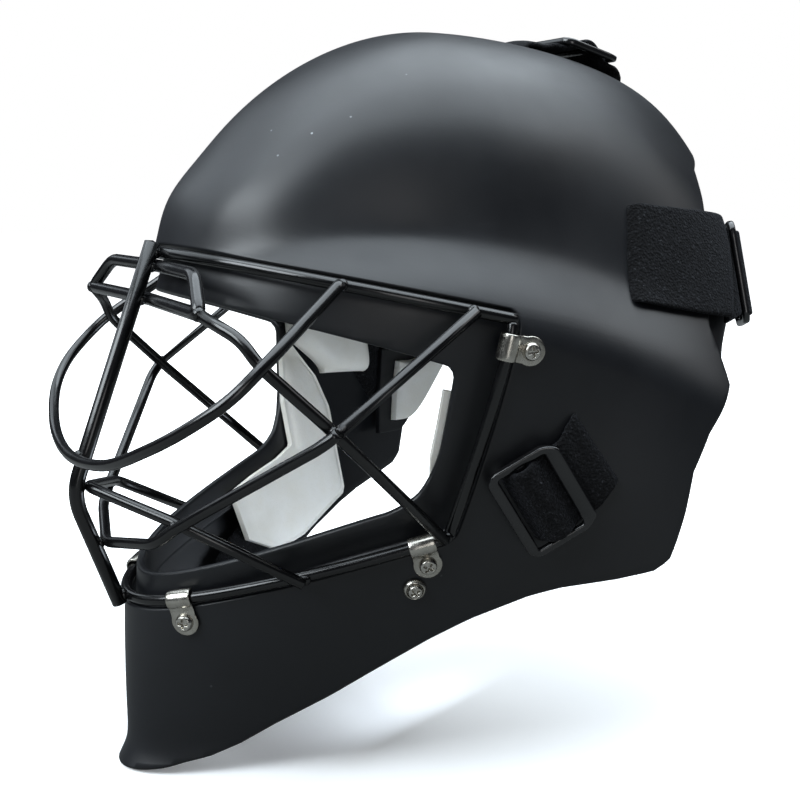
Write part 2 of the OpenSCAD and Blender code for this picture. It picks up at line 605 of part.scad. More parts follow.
module tri_glide(w) {
    hole = (buckle_length - 2*bar_end - bar_mid)/2;
    linear_extrude(height = buckle_thick) difference() {
        round_rect(buckle_length, w + 7, 4.5);
        for (i = [-1, 1]) translate([i*(hole + bar_mid)/2, 0]) square([hole, w + 1], center = true);
    }
}

// the upper buckle stands on the back plate, behind the rim of the shell
upper_buckle_s = 84;
upper_end_s = 112;
plate_h = shell_wall + strap_thick + 6*gap;
on_plate = -plate_h + 2.5*gap + strap_thick/2;
upper_path = concat([[-16, -strap_in], [-1.8, -strap_in], [0, -strap_in + 1.8], [0, -0.4],
    [1.9, strap_out + gap]], [for (s = [12:8:52]) [s, strap_out]], [[57, -1.5], [64, on_plate]],
    glide(upper_buckle_s, on_plate), [[100, on_plate], [upper_end_s, on_plate]]);
upper_laid = laid(upper_map, upper_buckle_s);
module upper_strap() strap(upper_laid, upper_path, strap_width);
module upper_strap_left() placed() color([0.05, 0.05, 0.055]) upper_strap();
module upper_strap_right() placed() color([0.05, 0.05, 0.055]) mirror([1, 0, 0]) upper_strap();
module upper_buckle()
    on_strap(upper_laid, upper_buckle_s, buckle_low - strap_out + on_plate) tri_glide(strap_width);
module upper_buckle_left() placed() color([0.04, 0.04, 0.045]) upper_buckle();
module upper_buckle_right() placed() color([0.04, 0.04, 0.045]) mirror([1, 0, 0]) upper_buckle();

lower_slot_a = -7.6;
lower_slot_b = 26;
lower_path = [[-16, -strap_in], [lower_slot_a - 1.8, -strap_in], [lower_slot_a, -strap_in + 1.8],
    [lower_slot_a, 0], [-bar_mid/2 - 0.6, over], [bar_mid/2 + 0.4, over],
    [buckle_length/2 - bar_end - 1.2, strap_out], [buckle_length/2 + 2, strap_out + gap],
    [20, strap_out + gap], [lower_slot_b - 1.9, strap_out], [lower_slot_b, -0.4], [lower_slot_b, -strap_in + 1.8],
    [lower_slot_b + 1.8, -strap_in], [lower_slot_b + 12, -strap_in], [lower_slot_b + 22, -strap_in]];
lower_laid = laid(lower_map, 0);
module lower_strap() strap(lower_laid, lower_path, narrow_strap_width);
module lower_strap_left() placed() color([0.05, 0.05, 0.055]) lower_strap();
module lower_strap_right() placed() color([0.05, 0.05, 0.055]) mirror([1, 0, 0]) lower_strap();
module lower_buckle() on_strap(lower_laid, 0, buckle_low) tri_glide(narrow_strap_width);
module lower_buckle_left() placed() color([0.04, 0.04, 0.045]) lower_buckle();
module lower_buckle_right() placed() color([0.04, 0.04, 0.045]) mirror([1, 0, 0]) lower_buckle();

top_slot_s = 10;
top_buckle_s = 41;
// behind its buckle the strap goes back inside
top_return_s = 61;
top_path = concat([[0.5, -strap_in], [top_slot_s - 1.8, -strap_in], [top_slot_s, -strap_in + 1.8],
    [top_slot_s, -0.4], [top_slot_s + 1.9, strap_out], [19, strap_out]], glide(top_buckle_s),
    [[top_return_s - 1.9, strap_out], [top_return_s, -0.4], [top_return_s, -strap_in + 1.8],
        [top_return_s + 1.8, -strap_in]],
    [for (s = [72:12:120]) [s, -strap_in]], [[131, on_plate], [146, on_plate]]);
top_laid = laid(top_map, top_buckle_s);
module top_strap() placed() color([0.05, 0.05, 0.055]) strap(top_laid, top_path, narrow_strap_width);
module top_buckle() placed() color([0.04, 0.04, 0.045])
    on_strap(top_laid, top_buckle_s, buckle_low) tri_glide(narrow_strap_width);

slot_h = strap_thick + 3*gap;
module place_slots() {
    slot_cut(upper_laid, 0, strap_width + 3);
    slot_cut(lower_laid, lower_slot_a, narrow_strap_width + 3);
    slot_cut(lower_laid, lower_slot_b, narrow_strap_width + 3);
}
module top_slot() {
    slot_cut(top_laid, top_slot_s, narrow_strap_width + 3);
    slot_cut(top_laid, top_return_s, narrow_strap_width + 3);
}

// Liner
foam_colour = [0.82, 0.80, 0.72];
// how far a cushion has risen at the place (a, b) of its outline, both 0 to 1
function crown_at(a, b, edge = 0.35) =
    edge + (1 - edge)*sqrt(max(0, (1 - pow(2*a - 1, 6))*(1 - pow(2*b - 1, 6))));
foam_h = shell_wall + gap;

// foam behind the skin between u0 and u1, v0 and v1
module cushion(u0, u1, v0, v1, nu, nv, top = foam_h, thick = pad_thick) {
    slab([for (j = [0:nv]) [for (i = [0:nu]) let(a = i/nu, b = j/nv)
            skin(u0 + (u1 - u0)*a, v0 + (v1 - v0)*b, -top - thick*crown_at(a, b))]],
        [for (j = [0:nv]) [for (i = [0:nu]) let(a = i/nu, b = j/nv)
            skin(u0 + (u1 - u0)*a, v0 + (v1 - v0)*b, -top)]]);
}
module brow_pad() placed() color(foam_colour) cushion(-0.62, 0.62, 2.05, 2.8, 14, 5, foam_h + gap);
module crown_pad() placed() color(foam_colour) both() cushion(0.1, 1.2, 0.45, 1.75, 9, 5);
// temple pad: a lobe beside the eye opening, clear of the clip nut
function temple_at(i, j) = let(a = i/6, z = -14 - 54*j/9, y0 = 84 + 18*ease(46, 68, -z))
    [y0 + (126 - y0)*a, z, max(foam_h + 5*gap + flange_depth([0, y0 + (126 - y0)*a, 0]),
        foam_h + nut_h + 4*gap), crown_at(a, j/9)];
module temple_pad() {
    at = [for (j = [0:9]) [for (i = [0:6]) temple_at(i, j)]];
    slab([for (r = at) [for (q = r) seat(q[0], q[1], -q[2] - pad_thick*q[3])]],
        [for (r = at) [for (q = r) seat(q[0], q[1], -q[2])]]);
}
module temple_pad_left() placed() color(foam_colour) temple_pad();
module temple_pad_right() placed() color(foam_colour) mirror([1, 0, 0]) temple_pad();

// jaw pad: strip behind the rear upright and under the jaw bar; e is the distance outside the frame
corner_out = unit(rear_out + jaw_out)/(unit(rear_out + jaw_out)*jaw_out);
jaw_lines = [[frame_top + rear_dir*33, rear_out, -14.4, -8],
    [frame_top + rear_dir*46, rear_out, -13, 7],
    [frame_top + rear_dir*60, rear_out, -11.7, 16],
    [frame_low, corner_out, -6, 28],
    [frame_low + jaw_dir*14, jaw_out, -4, 34],
    [frame_low + jaw_dir*30, jaw_out, -4, 33],
    [frame_low + jaw_dir*44, jaw_out, -3, 20]];
step_e = window_gap + riser + 1;
function jaw_e(g, i) = i < 3 ? [for (j = [0:6]) g[2] + (g[3] - g[2])*j/6] : [g[2], (g[2] + step_e)/2, step_e, step_e + 1, step_e + (g[3] - step_e)*0.4,
    step_e + (g[3] - step_e)*0.75, g[3]];
module jaw_pad() {
    n = len(jaw_lines) - 1;
    at = [for (i = [0:n]) [for (e = jaw_e(jaw_lines[i], i)) jaw_lines[i][0] + jaw_lines[i][1]*e]];
    top = [for (i = [0:n]) [for (j = [0:6])
        i < 3 || j < 3 ? foam_h + 2*gap + flange_depth([0, at[i][j][0], 0])
        : strap_nut_top + nut_h + 6*gap]];
    slab([for (i = [0:n]) [for (j = [0:6])
            seat(at[i][j][0], at[i][j][1],
                -max(foam_h + pad_thick*crown_at(i/n, j/6), top[i][j] + 3))]],
        [for (i = [0:n]) [for (j = [0:6]) seat(at[i][j][0], at[i][j][1], -top[i][j])]]);
}
module jaw_pad_left() placed() color(foam_colour) jaw_pad();
module jaw_pad_right() placed() color(foam_colour) mirror([1, 0, 0]) jaw_pad();

// back plate: w runs from -1 at the right wing over 0 at the back to 1 at the left wing
wing_u = 1.17;
function back_u(w) = w >= 0 ? 2 - (2 - wing_u)*w : -2 - (2 - wing_u)*w;
function plate_top(w) = -58 + 94*(1 - ease(0.3, 0.85, abs(w)));
function plate_low(w) = -48 - 54*ease(0.55, 0.88, abs(w));
plate_nw = 30;
plate_nz = 7;
// sheet between the depths h0 and h1; a pad leaves out the outermost strip and is crowned
module back_sheet(h0, h1, pad = false) {
    k = pad ? 1 : 0;
    grid = [for (i = [k:plate_nw - k]) [for (j = [k:plate_nz - k])
        let(w = 2*i/plate_nw - 1, z = plate_low(w) + (plate_top(w) - plate_low(w))*j/plate_nz,
            c = pad ? crown_at((i - 1)/(plate_nw - 2), (j - 1)/(plate_nz - 2)) : 1)
        [back_u(w), v_at(z), h0 + (h1 - h0)*c]]];
    slab([for (r = grid) [for (q = r) skin(q[0], q[1], -h0)]],
        [for (r = grid) [for (q = r) skin(q[0], q[1], -q[2])]]);
}
module back_plate() placed() color([0.08, 0.08, 0.09])
    back_sheet(plate_h, plate_h + plate_thick);
pad_h = plate_h + plate_thick + gap;
module back_pad() placed() color(foam_colour)
    back_sheet(pad_h, pad_h + back_pad_thick, true);

// Chin strap
cup_mid = [0, 38, -158];
cup_size = [34, 25, 20];
module chin_strap_half() {
    a = seat(strap_anchor[0], strap_anchor[1], -shell_wall - 2.5*gap - chin_strap_thick/2);
    n = skin_normal(strap_anchor);
    lap = chin_strap_thick/2 + gap;
    d = cup_mid + [cup_size[0] + lap, 0, 0];
    down = unit(square_to(d - a, n));
    path = concat([a - down*5, a], [for (t = [0.2:0.2:1]) let(s = 1 - t)
        s*s*s*a + 3*s*s*t*(a + down*20 - n*3.5) + 3*s*t*t*(d + [3, 3, 20]) + t*t*t*d],
        [for (g = [14, 28, 42]) cup_mid + [(cup_size[0] + lap)*cos(g), 0, -(cup_size[2] + lap)*sin(g)]]);
    across = [for (i = [0:len(path) - 1]) let(t = i/(len(path) - 1))
        square_to((1 - t)*cross(n, down) + t*[0, 1, 0], tangent(path, i))];
    out = [for (i = [0:len(path) - 1]) cross(tangent(path, i), across[i])];
    lanes = [-0.5, 0, 0.5]*chin_strap_width;
    difference() {
        slab([for (i = [0:len(path) - 1]) [for (c = lanes)
                path[i] + across[i]*c - out[i]*chin_strap_thick/2]],
            [for (i = [0:len(path) - 1]) [for (c = lanes)
                path[i] + across[i]*c + out[i]*chin_strap_thick/2]]);
        on_skin(strap_anchor[0], strap_anchor[1]) translate([0, 0, -12])
            cylinder(d = screw_d + 2*gap, h = 11, $fn = 24);
    }
}
module chin_strap() placed() color([0.06, 0.06, 0.065]) both() chin_strap_half();
module chin_cup() placed() color([0.1, 0.1, 0.11]) translate(cup_mid) difference() {
    scale(cup_size) sphere(1, $fn = 36);
    scale(cup_size - [1, 1, 1]*cup_wall) sphere(1, $fn = 36);
    translate([-50, -50, 0]) cube([100, 100, 50]);
}

shell();
brow_bar();
side_bar_left();
side_bar_right();
jaw_bar();
centre_bar();
visor_loop();
upper_u_bar();
lower_u_bar();
cat_eye_bar_left();
cat_eye_bar_right();
v_bar();
cage_clips();
clip_screws();
clip_nuts();
strap_screws();
cup_washers();
brow_pad();
crown_pad();
temple_pad_left();
temple_pad_right();
jaw_pad_left();
jaw_pad_right();
back_plate();
back_pad();
top_strap();
upper_strap_left();
upper_strap_right();
lower_strap_left();
lower_strap_right();
top_buckle();
upper_buckle_left();
upper_buckle_right();
lower_buckle_left();
lower_buckle_right();
chin_strap();
chin_cup();
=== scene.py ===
# %% [markdown]
# # Field hockey goalkeeper helmet
# The helmet is a moulded hood with a long lipped chin, a welded wire cage clipped over its eye
# opening, a foam liner, and a back plate that elastic straps pull against the head. The packed
# model gives every place and size. This script dresses it: each visible piece is made again as a
# finely computed surface and gets a material with the detail of the real one.
#
# All shape functions below work in the drawing frame of the helmet, in millimetres: the origin is
# the middle of the brow bar, X is the wearer's left, Y the back of the head, Z up. Points go to
# the model's own frame, in metres, only where a mesh is made.

# %% Load the frame and set the units
import math
import bmesh
import bpy
import numpy as np
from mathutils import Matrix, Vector


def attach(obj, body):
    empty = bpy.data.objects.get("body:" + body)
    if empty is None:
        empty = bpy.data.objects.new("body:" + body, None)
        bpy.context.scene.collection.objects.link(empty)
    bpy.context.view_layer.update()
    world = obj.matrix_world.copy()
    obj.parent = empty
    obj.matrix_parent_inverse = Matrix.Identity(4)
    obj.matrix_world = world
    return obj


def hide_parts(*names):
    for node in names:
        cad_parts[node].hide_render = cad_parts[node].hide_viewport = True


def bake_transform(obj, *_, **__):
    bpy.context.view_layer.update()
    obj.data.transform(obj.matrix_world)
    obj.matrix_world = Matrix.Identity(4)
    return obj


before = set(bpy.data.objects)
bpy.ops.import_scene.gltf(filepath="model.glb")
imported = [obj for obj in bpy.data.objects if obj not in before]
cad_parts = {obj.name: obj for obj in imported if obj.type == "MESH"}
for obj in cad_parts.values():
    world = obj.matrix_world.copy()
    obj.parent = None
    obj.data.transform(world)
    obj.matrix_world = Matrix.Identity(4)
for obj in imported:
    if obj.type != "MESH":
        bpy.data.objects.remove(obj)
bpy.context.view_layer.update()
SHIFT = np.array([0.0, -104.0, 205.5])


def metres(p):
    """Drawing millimetres to the model's metres."""
    return (np.asarray(p, float) + SHIFT) / 1000.0


def other(p):
    """The same points on the wearer's right."""
    return np.asarray(p, float) * [-1, 1, 1]


# %% [markdown]
# ## Camera
# The view is 62.5 degrees round from the front to the wearer's left and 9.4 degrees above, with no
# roll, through a lens of 58.5 mm on a 36 mm sensor. Such numbers could be tried by eye. Here they
# come from lines that must vanish in one point, and the bars of the cage and the far side of the
# opening fix them, because they must all fall on the right places at once.

# %% Camera at the photograph's angle
PICTURE, FOCAL, HORIZON, VANISHING = 800, 1300, 215, 685  # pixels
SENSOR = 36
EYE_AT = np.array([488.2, -146.71, 24.19])
tilt = math.atan2(HORIZON, FOCAL)
turn = math.atan2(VANISHING, math.hypot(FOCAL, HORIZON))
look = np.array([-math.cos(turn) * math.cos(tilt), math.sin(turn) * math.cos(tilt),
                 -math.sin(tilt)])
cam_data = bpy.data.cameras.new("camera")
cam_data.lens = SENSOR * FOCAL / PICTURE
cam_data.sensor_width = SENSOR
cam_data.clip_start = 0.01
cam = bpy.data.objects.new("camera", cam_data)
bpy.context.scene.collection.objects.link(cam)
cam.location = Vector(metres(EYE_AT))
cam.rotation_euler = Vector(look).to_track_quat("-Z", "Y").to_euler()
bpy.context.scene.camera = cam
print("camera at", [round(v, 3) for v in cam.location])

# %% [markdown]
# ## The skin of the shell
# The hood is one double-curved surface without a flat or a straight line. It could be sculpted or
# lofted through sections. Here it is a formula, so that the cage, the clips, the straps and the
# pads can all ask it where the plastic lies: level curves from the crown down, each a front and a
# rear cubic arc, blended over the height number v. u runs from 0 at the front over 1 at the side
# to 2 at the rear, and the wearer's right has the same numbers with a minus.

# %% Small curve helpers
def ease(a, b, x):
    """Cubic step from 0 at a to 1 at b."""
    t = np.clip((x - a) / (b - a), 0, 1)
    return t * t * (3 - 2 * t)


def unit(a):
    """Vectors of length one along the last axis."""
    return a / np.maximum(np.linalg.norm(a, axis=-1, keepdims=True), 1e-9)


def arc(a, b, c, d, t):
    """Cubic Bezier value from a over the handles b and c to d."""
    s = 1 - t
    return s**3 * a + 3 * s * s * t * b + 3 * s * t * t * c + t**3 * d


print("half way up a step: %.2f" % ease(0, 1, 0.5))

# %% The bare surface
CROWN_Y, BELT_Z, DOME = 117.0, -40.0, 126.0
# each level curve from the crown down: its reach to the front, half width, front handles across
# and along, reach to the rear, rear handles along and across, and how far its widest part swells
LEVELS = np.array([
    [108, 96, 53, 60, 158, 80, 53, 0], [110, 98, 54, 61, 202, 100, 54, 0],
    [115, 101, 56, 64, 166, 88, 60, 0], [116, 104, 64, 66, 142, 75, 76, 2],
    [120, 103, 66, 66, 124, 60, 152, 10], [127, 97, 56, 62, 112, 42, 174, 15],
    [132, 86, 40, 56, 108, 34, 184, 15], [133, 66, 28, 48, 104, 34, 170, 12],
    [131, 50, 24, 40, 100, 34, 150, 10]], float)


def skin0(u, v):
    """Bare surface: a cubic B-spline over v blends the level curves, and above the belt each is
    shrunk to the crown by the cosine of its latitude."""
    u, v = np.broadcast_arrays(np.asarray(u, float), np.asarray(v, float))
    n = len(LEVELS) - 1
    i = np.clip(np.floor(v).astype(int), 0, n - 1)
    t = (v - i)[..., None]
    q = ((1 - t)**3 * LEVELS[abs(i - 1)] + (3 * t**3 - 6 * t**2 + 4) * LEVELS[i]
         + (3 * t + 3 * t**2 - 3 * t**3 + 1) * LEVELS[i + 1]
         + t**3 * LEVELS[np.minimum(i + 2, n)]) / 6
    front, w, h1, h2, rear, h3, h4, f = np.moveaxis(q, -1, 0)
    lat = np.pi / 2 * np.clip(1 - v / 4, 0, 1)
    z = np.where(v < 4, BELT_Z + DOME * np.sin(lat), BELT_Z - DOME * np.pi / 8 * (v - 4))
    a = np.abs(u)
    t = np.clip(a, 0, 1)
    xf, yf = arc(0, h1, w - f * h2 / h3, w, t), arc(-front, -front, -h2, 0, t)
    t = np.clip(a - 1, 0, 1)
    xr, yr = arc(w, w + f, h4, 0, t), arc(0, h3, rear, rear, t)
    x, y = np.where(a <= 1, xf, xr), np.where(a <= 1, yf, yr)
    c = np.cos(lat)
    return np.stack([np.sign(u) * x * c, CROWN_Y + y * c, z], -1)


def facing(u, v, e=1e-3):
    """Outward normal of the bare surface, from the cross product of its two tangents."""
    v = np.maximum(v, 0.01)
    du = skin0(u + e, v) - skin0(u - e, v)
    dv = skin0(u, v + e) - skin0(u, v - e)
    return unit(np.cross(dv, du))


print("skin: half width %.1f mm, crown %.1f mm" % (skin0(1.0, 4.0)[0], skin0(0.0, 0.0)[2]))

# %% The pressed forms of the shell, as heights over the bare surface
WALL, SCOOP, BROW_SWELL, LIP_SWELL = 3.5, 14.0, 2.6, 5.0
HOLLOW_Y, HOLLOW_HALF, HOLLOW_TOP, HOLLOW_DROP = 112, 91, 56, 38  # its arched top line
FOOT_Y, FOOT_Z, FOOT_SLOPE, FOOT_CURVE = 20, -7, 0.17, 0.00085  # its falling foot line
BROW_Z, BROW_SPREAD, LIP_Z, LIP_SPREAD = 19, 15, -207, 8


def swell(p):
    """Side hollow, fuller brow and rolled chin lip. The hollow lies between a top line and a foot
    line of the side view and fades out to the front, the rear and the crown; brow and lip are bell
    curves over the height, on the front only."""
    x, y, z = np.abs(p[..., 0]), p[..., 1], p[..., 2]
    top = HOLLOW_TOP - HOLLOW_DROP * np.abs((y - HOLLOW_Y) / HOLLOW_HALF)**2.6
    foot = FOOT_Z - FOOT_SLOPE * (y - FOOT_Y) - FOOT_CURVE * (y - FOOT_Y)**2
    t = (top - z) / np.maximum(top - foot, 14)
    hollow = ease(-0.1, 0.58, t) * (1 - ease(0.56, 1.04, t)) * ease(2, 66, y)
    hollow = hollow * (1 - 0.5 * ease(140, 215, y)) * ease(10, 44, x)
    brow = BROW_SWELL * np.exp(-((z - BROW_Z) / BROW_SPREAD)**2) * (1 - ease(12, 50, y))
    lip = LIP_SWELL * np.exp(-((z - LIP_Z) / LIP_SPREAD)**2) * (1 - ease(0, 60, y))
    return brow + lip - SCOOP * hollow


FLANGE_FRONT, FLANGE_MORE, FRONT_TO_SIDE = 4.6, 3.4, 60


def flange_depth(y):
    """Depth of the flange round the eye opening: less at the front, more from the side on."""
    return FLANGE_FRONT + FLANGE_MORE * ease(0, FRONT_TO_SIDE, y)


def skin(u, v, h=0.0):
    """Point on the finished skin, moved out along its normal by h."""
    p = skin0(u, v)
    return p + facing(u, v) * (swell(p) + h)[..., None]


print("side hollow over the ear: %.1f mm deep" % -swell(skin0(1.0, 3.2)))

# %% Places on the left side, found from the side view
def v_at(z):
    """Height number at height z: the arc sine of the latitude, and linear below the belt."""
    z = np.asarray(z, float)
    up = 4 * (1 - np.arcsin(np.clip((z - BELT_Z) / DOME, -1, 1)) * 2 / np.pi)
    return np.where(z >= BELT_Z, up, 4 + (BELT_Z - z) * 8 / (DOME * np.pi))


def halved(less, lo, hi, rounds):
    """Where a rising test turns from true to false between lo and hi, by halving."""
    for _ in range(rounds):
        m = (lo + hi) / 2
        up = less(m)
        lo, hi = np.where(up, m, lo), np.where(up, hi, m)
    return (lo + hi) / 2


def u_at(y, v):
    """u of the left-side place with side view y."""
    y, v = np.broadcast_arrays(np.asarray(y, float), np.asarray(v, float))
    return halved(lambda m: skin0(m, v)[..., 1] < y, np.zeros(y.shape), np.full(y.shape, 2.0), 26)


def seat(y, z, h=0.0):
    """Point over the left side at side view (y, z), h above the skin."""
    v = v_at(z)
    return skin(u_at(y, v), v, np.asarray(h, float))


def normal_at(y, z):
    """Outward normal of the left side at side view (y, z)."""
    v = v_at(z)
    return facing(u_at(y, v), v)


print("skin over the ear: %.1f mm from the middle" % seat(117.0, -40.0)[0])

# %% [markdown]
# ## Mesh helpers
# Every new piece is a grid of points that numpy computes whole, and its faces are the quads of that
# grid. Blender's own primitives and modifiers could give the same pieces, but not on a surface that
# is known only as a formula. Closed tubes, sheets with rounded edges and cushions all come from the
# same few builders.

# %% Grids and objects
SCENE = bpy.context.scene.collection
MEET = 1e-5  # points nearer than a hundredth of a millimetre are one


def close_up(me):
    """Merges the points that meet at seams and poles, fills what is still open at the poles and
    under the screw heads, and turns the faces of each closed part outwards."""
    bm = bmesh.new()
    bm.from_mesh(me)
    bmesh.ops.remove_doubles(bm, verts=bm.verts[:], dist=MEET)
    bmesh.ops.holes_fill(bm, edges=bm.edges[:], sides=0)
    bmesh.ops.recalc_face_normals(bm, faces=bm.faces[:])
    bm.to_mesh(me)
    bm.free()


def add_mesh(name, part, body, mat, slot, *nodes):
    """Object from drawing-frame points and faces; it rides on a body and stands for CAD nodes."""
    pts, faces = part
    me = bpy.data.meshes.new(name)
    me.from_pydata(metres(pts).tolist(), [], [list(map(int, f)) for f in faces])
    me.validate(verbose=False)
    close_up(me)
    me.polygons.foreach_set("use_smooth", np.full(len(me.polygons), True))
    ob = bpy.data.objects.new(name, me)
    SCENE.objects.link(ob)
    me.materials.append(mat)
    if body:
        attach(ob, body)
    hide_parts(*nodes)
    return ob


def quads(n, m, round_n=False, round_m=False, start=0, flip=False):
    """Quads of an n by m grid of points; an axis may close on itself, and flip turns them over."""
    i, j = np.meshgrid(np.arange(n if round_n else n - 1), np.arange(m if round_m else m - 1),
                       indexing="ij")
    i2, j2 = (i + 1) % n, (j + 1) % m
    q = np.stack([i * m + j, i2 * m + j, i2 * m + j2, i * m + j2], -1).reshape(-1, 4) + start
    return [tuple(f) for f in (q[:, ::-1] if flip else q).tolist()]


def capped(n, m):
    """Faces of n rings of m points each, closed by a flat cap at both ends."""
    return quads(n, m, round_m=True) + [tuple(range(m))[::-1], tuple(range((n - 1) * m, n * m))]


def join(parts):
    """One point list and one face list from several."""
    pts, faces, k = [], [], 0
    for p, f in parts:
        p = np.asarray(p, float).reshape(-1, 3)
        pts.append(p)
        faces += [tuple(int(i) + k for i in q) for q in f]
        k += len(p)
    return np.concatenate(pts), faces


def mirror(part):
    """The same piece on the wearer's right, its faces turned so that they still point outwards."""
    p, f = part
    return other(p).reshape(-1, 3), [tuple(q)[::-1] for q in f]


print("mesh helpers ready")

# %% [markdown]
# ## Materials
# The finishes are few: matte moulded ABS, gloss powder coat on the wire, nickel on clips and
# screws, closed-cell foam, elastic loop webbing, gloss nylon on the buckles. Photographs could be
# wrapped round the pieces, but a pattern worked out in object space needs no seams and stays sharp
# close up. So each finish is a Principled shader whose colour, roughness and bump come from noise
# at the real scale, in millimetres.

# %% Colours, scales and shader nodes
def srgb(code):
    """Hex colour to linear values."""
    c = np.array([int(code[i:i + 2], 16) for i in (1, 3, 5)]) / 255
    c = np.where(c <= 0.04045, c / 12.92, ((c + 0.055) / 1.055)**2.4)
    return (*[float(v) for v in c], 1.0)


def each(mm):
    """Scale of a pattern whose features are mm wide: features per metre, to two figures."""
    return float("%.2g" % (1000 / mm))


def add_node(tree, kind, links=None, out=0, stops=(), **settings):
    """Adds a shader node and returns one of its outputs. Settings name its properties or sockets,
    links feed its sockets, stops are the places and the colours or greys of a ramp."""
    n = tree.nodes.new("ShaderNode" + kind)
    for key, value in settings.items():
        if hasattr(n, key):
            setattr(n, key, value)
        else:
            n.inputs[key.replace("_", " ")].default_value = value
    for socket, source in (links or {}).items():
        tree.links.new(source, n.inputs[socket])
    while stops and len(n.color_ramp.elements) < len(stops):
        n.color_ramp.elements.new(0.5)
    for k, (at, c) in enumerate(stops):
        n.color_ramp.elements[k].position = at
        n.color_ramp.elements[k].color = c if isinstance(c, tuple) else (c, c, c, 1.0)
    return n.outputs[out]


def start_material(name, **constants):
    """New Principled material, its constants set on the shader's own sockets."""
    m = bpy.data.materials.new(name)
    m.use_nodes = True
    p = m.node_tree.nodes["Principled BSDF"]
    for key, value in constants.items():
        p.inputs[key.replace("_", " ")].default_value = value
    return m, m.node_tree, p, {"Vector": add_node(m.node_tree, "TexCoord", out="Object")}


def feed(tree, shader, **sources):
    """Links each source to the shader's socket of that name."""
    for key, source in sources.items():
        tree.links.new(source, shader.inputs[key.replace("_", " ")])


print("scale of a 25 mm pattern:", each(25))

# %% [markdown]
# ### Matte moulded ABS
# The hood comes out of a mould whose steel was etched to a fine pebble, so the eye sees a black
# with a soft, wide highlight and no sharp reflection. Handling leaves a few duller rubs, hair
# scratches that run level round the hood, and specks of dust that sit in patches. The pebble of
# 0.7 mm is coarser than the real one, because that would not show. The sheet of the back plate is
# polyethylene with the same kind of face, a little lighter.

# %% Matte moulded plastic
def moulded_plastic(name, dark, light, rough):
    """Clouded black with dust, rubs, hair scratches and a fine pebble."""
    m, t, p, co = start_material(name, Specular_IOR_Level=0.5)
    cloud = add_node(t, "TexNoise", co, Scale=each(71), Detail=4, Roughness=0.55)
    base = add_node(t, "ValToRGB", {"Fac": cloud}, stops=[(0.3, srgb(dark)), (0.7, srgb(light))])
    # dust: the middle of every 8 mm cell, but only inside some patches
    cell = add_node(t, "TexVoronoi", co, Scale=each(8.3))
    speck = add_node(t, "ValToRGB", {"Fac": cell}, stops=[(0.0, 1.0), (0.05, 1.0), (0.065, 0.0)])
    patch = add_node(t, "TexNoise", co, Scale=each(45), Detail=2, Roughness=0.55)
    patch = add_node(t, "ValToRGB", {"Fac": patch}, stops=[(0.62, 0.0), (0.70, 1.0)])
    dust = add_node(t, "Math", {0: speck, 1: patch}, operation="MULTIPLY")
    base = add_node(t, "Mix", {"Factor": dust, "A": base}, "Result", data_type="RGBA",
                    B=srgb("#8d9094"))
    # rubs, and scratches where a stretched noise passes through its middle value
    rub = add_node(t, "TexNoise", co, Scale=each(38), Detail=4, Roughness=0.6)
    rub = add_node(t, "ValToRGB", {"Fac": rub}, stops=[(0.3, rough[0]), (0.75, rough[1])])
    drawn = add_node(t, "Mapping", co, Scale=(0.35, 0.35, 5.0))
    hair = add_node(t, "TexNoise", {"Vector": drawn}, Scale=each(16.7), Detail=1, Roughness=0.4)
    line = add_node(t, "ValToRGB", {"Fac": hair},
                    stops=[(0.492, 0.0), (0.4995, 1.0), (0.5005, 1.0), (0.508, 0.0)])
    worn = add_node(t, "TexNoise", co, Scale=each(59), Detail=2, Roughness=0.55)
    worn = add_node(t, "ValToRGB", {"Fac": worn}, stops=[(0.52, 0.0), (0.68, 0.12)])
    scratch = add_node(t, "Math", {0: line, 1: worn}, operation="MULTIPLY")
    rub = add_node(t, "Math", {0: rub, 1: scratch}, operation="ADD")
    pebble = add_node(t, "TexNoise", co, Scale=each(0.667), Detail=2, Roughness=0.55)
    n = add_node(t, "Bump", {"Height": pebble}, Strength=0.10, Distance=0.0002)
    flow = add_node(t, "TexNoise", co, Scale=each(28.6), Detail=3, Roughness=0.55)
    n = add_node(t, "Bump", {"Height": flow, "Normal": n}, Strength=0.05, Distance=0.0012)
    feed(t, p, Base_Color=base, Roughness=rub, Normal=n)
    return m


shell_mat = moulded_plastic("matte ABS moulded", "#0d0e11", "#15171b", (0.36, 0.46))
plate_mat = moulded_plastic("matte polyethylene sheet", "#101113", "#17181b", (0.36, 0.5))
print("plastics:", shell_mat.name, "and", plate_mat.name)

# %% [markdown]
# ### Gloss powder coat and gloss nylon
# Powder coat is plastic melted onto the wire. It gives a deep black with sharp, long highlights
# that a slight orange peel makes waver, and it is duller where it was rubbed. The buckles are
# nylon from a polished mould: as glossy, a little greyer, with soft flow marks. Both are one
# recipe, a smooth dark dielectric under a thin clear coat, with other numbers.

# %% Gloss black finishes
def gloss_black(name, specular, coat, dark, light, cloud, rub, rough, top, peel):
    """Cloud, rub and peel are the widths in millimetres of the clouds, rubs and bumps."""
    m, t, p, co = start_material(name, Specular_IOR_Level=specular, Coat_Weight=coat,
                                 Coat_Roughness=0.08)
    tone = add_node(t, "TexNoise", co, Scale=each(cloud), Detail=3, Roughness=0.55)
    tone = add_node(t, "ValToRGB", {"Fac": tone}, stops=[(0.3, srgb(dark)), (0.8, srgb(light))])
    wear = add_node(t, "TexNoise", co, Scale=each(rub), Detail=4, Roughness=0.55)
    wear = add_node(t, "ValToRGB", {"Fac": wear}, stops=[(0.3, rough[0]), (top, rough[1])])
    waves = add_node(t, "TexNoise", co, Scale=each(peel[0]), Detail=2, Roughness=0.55)
    n = add_node(t, "Bump", {"Height": waves}, Strength=peel[1], Distance=0.0003)
    feed(t, p, Base_Color=tone, Roughness=wear, Normal=n)
    return m


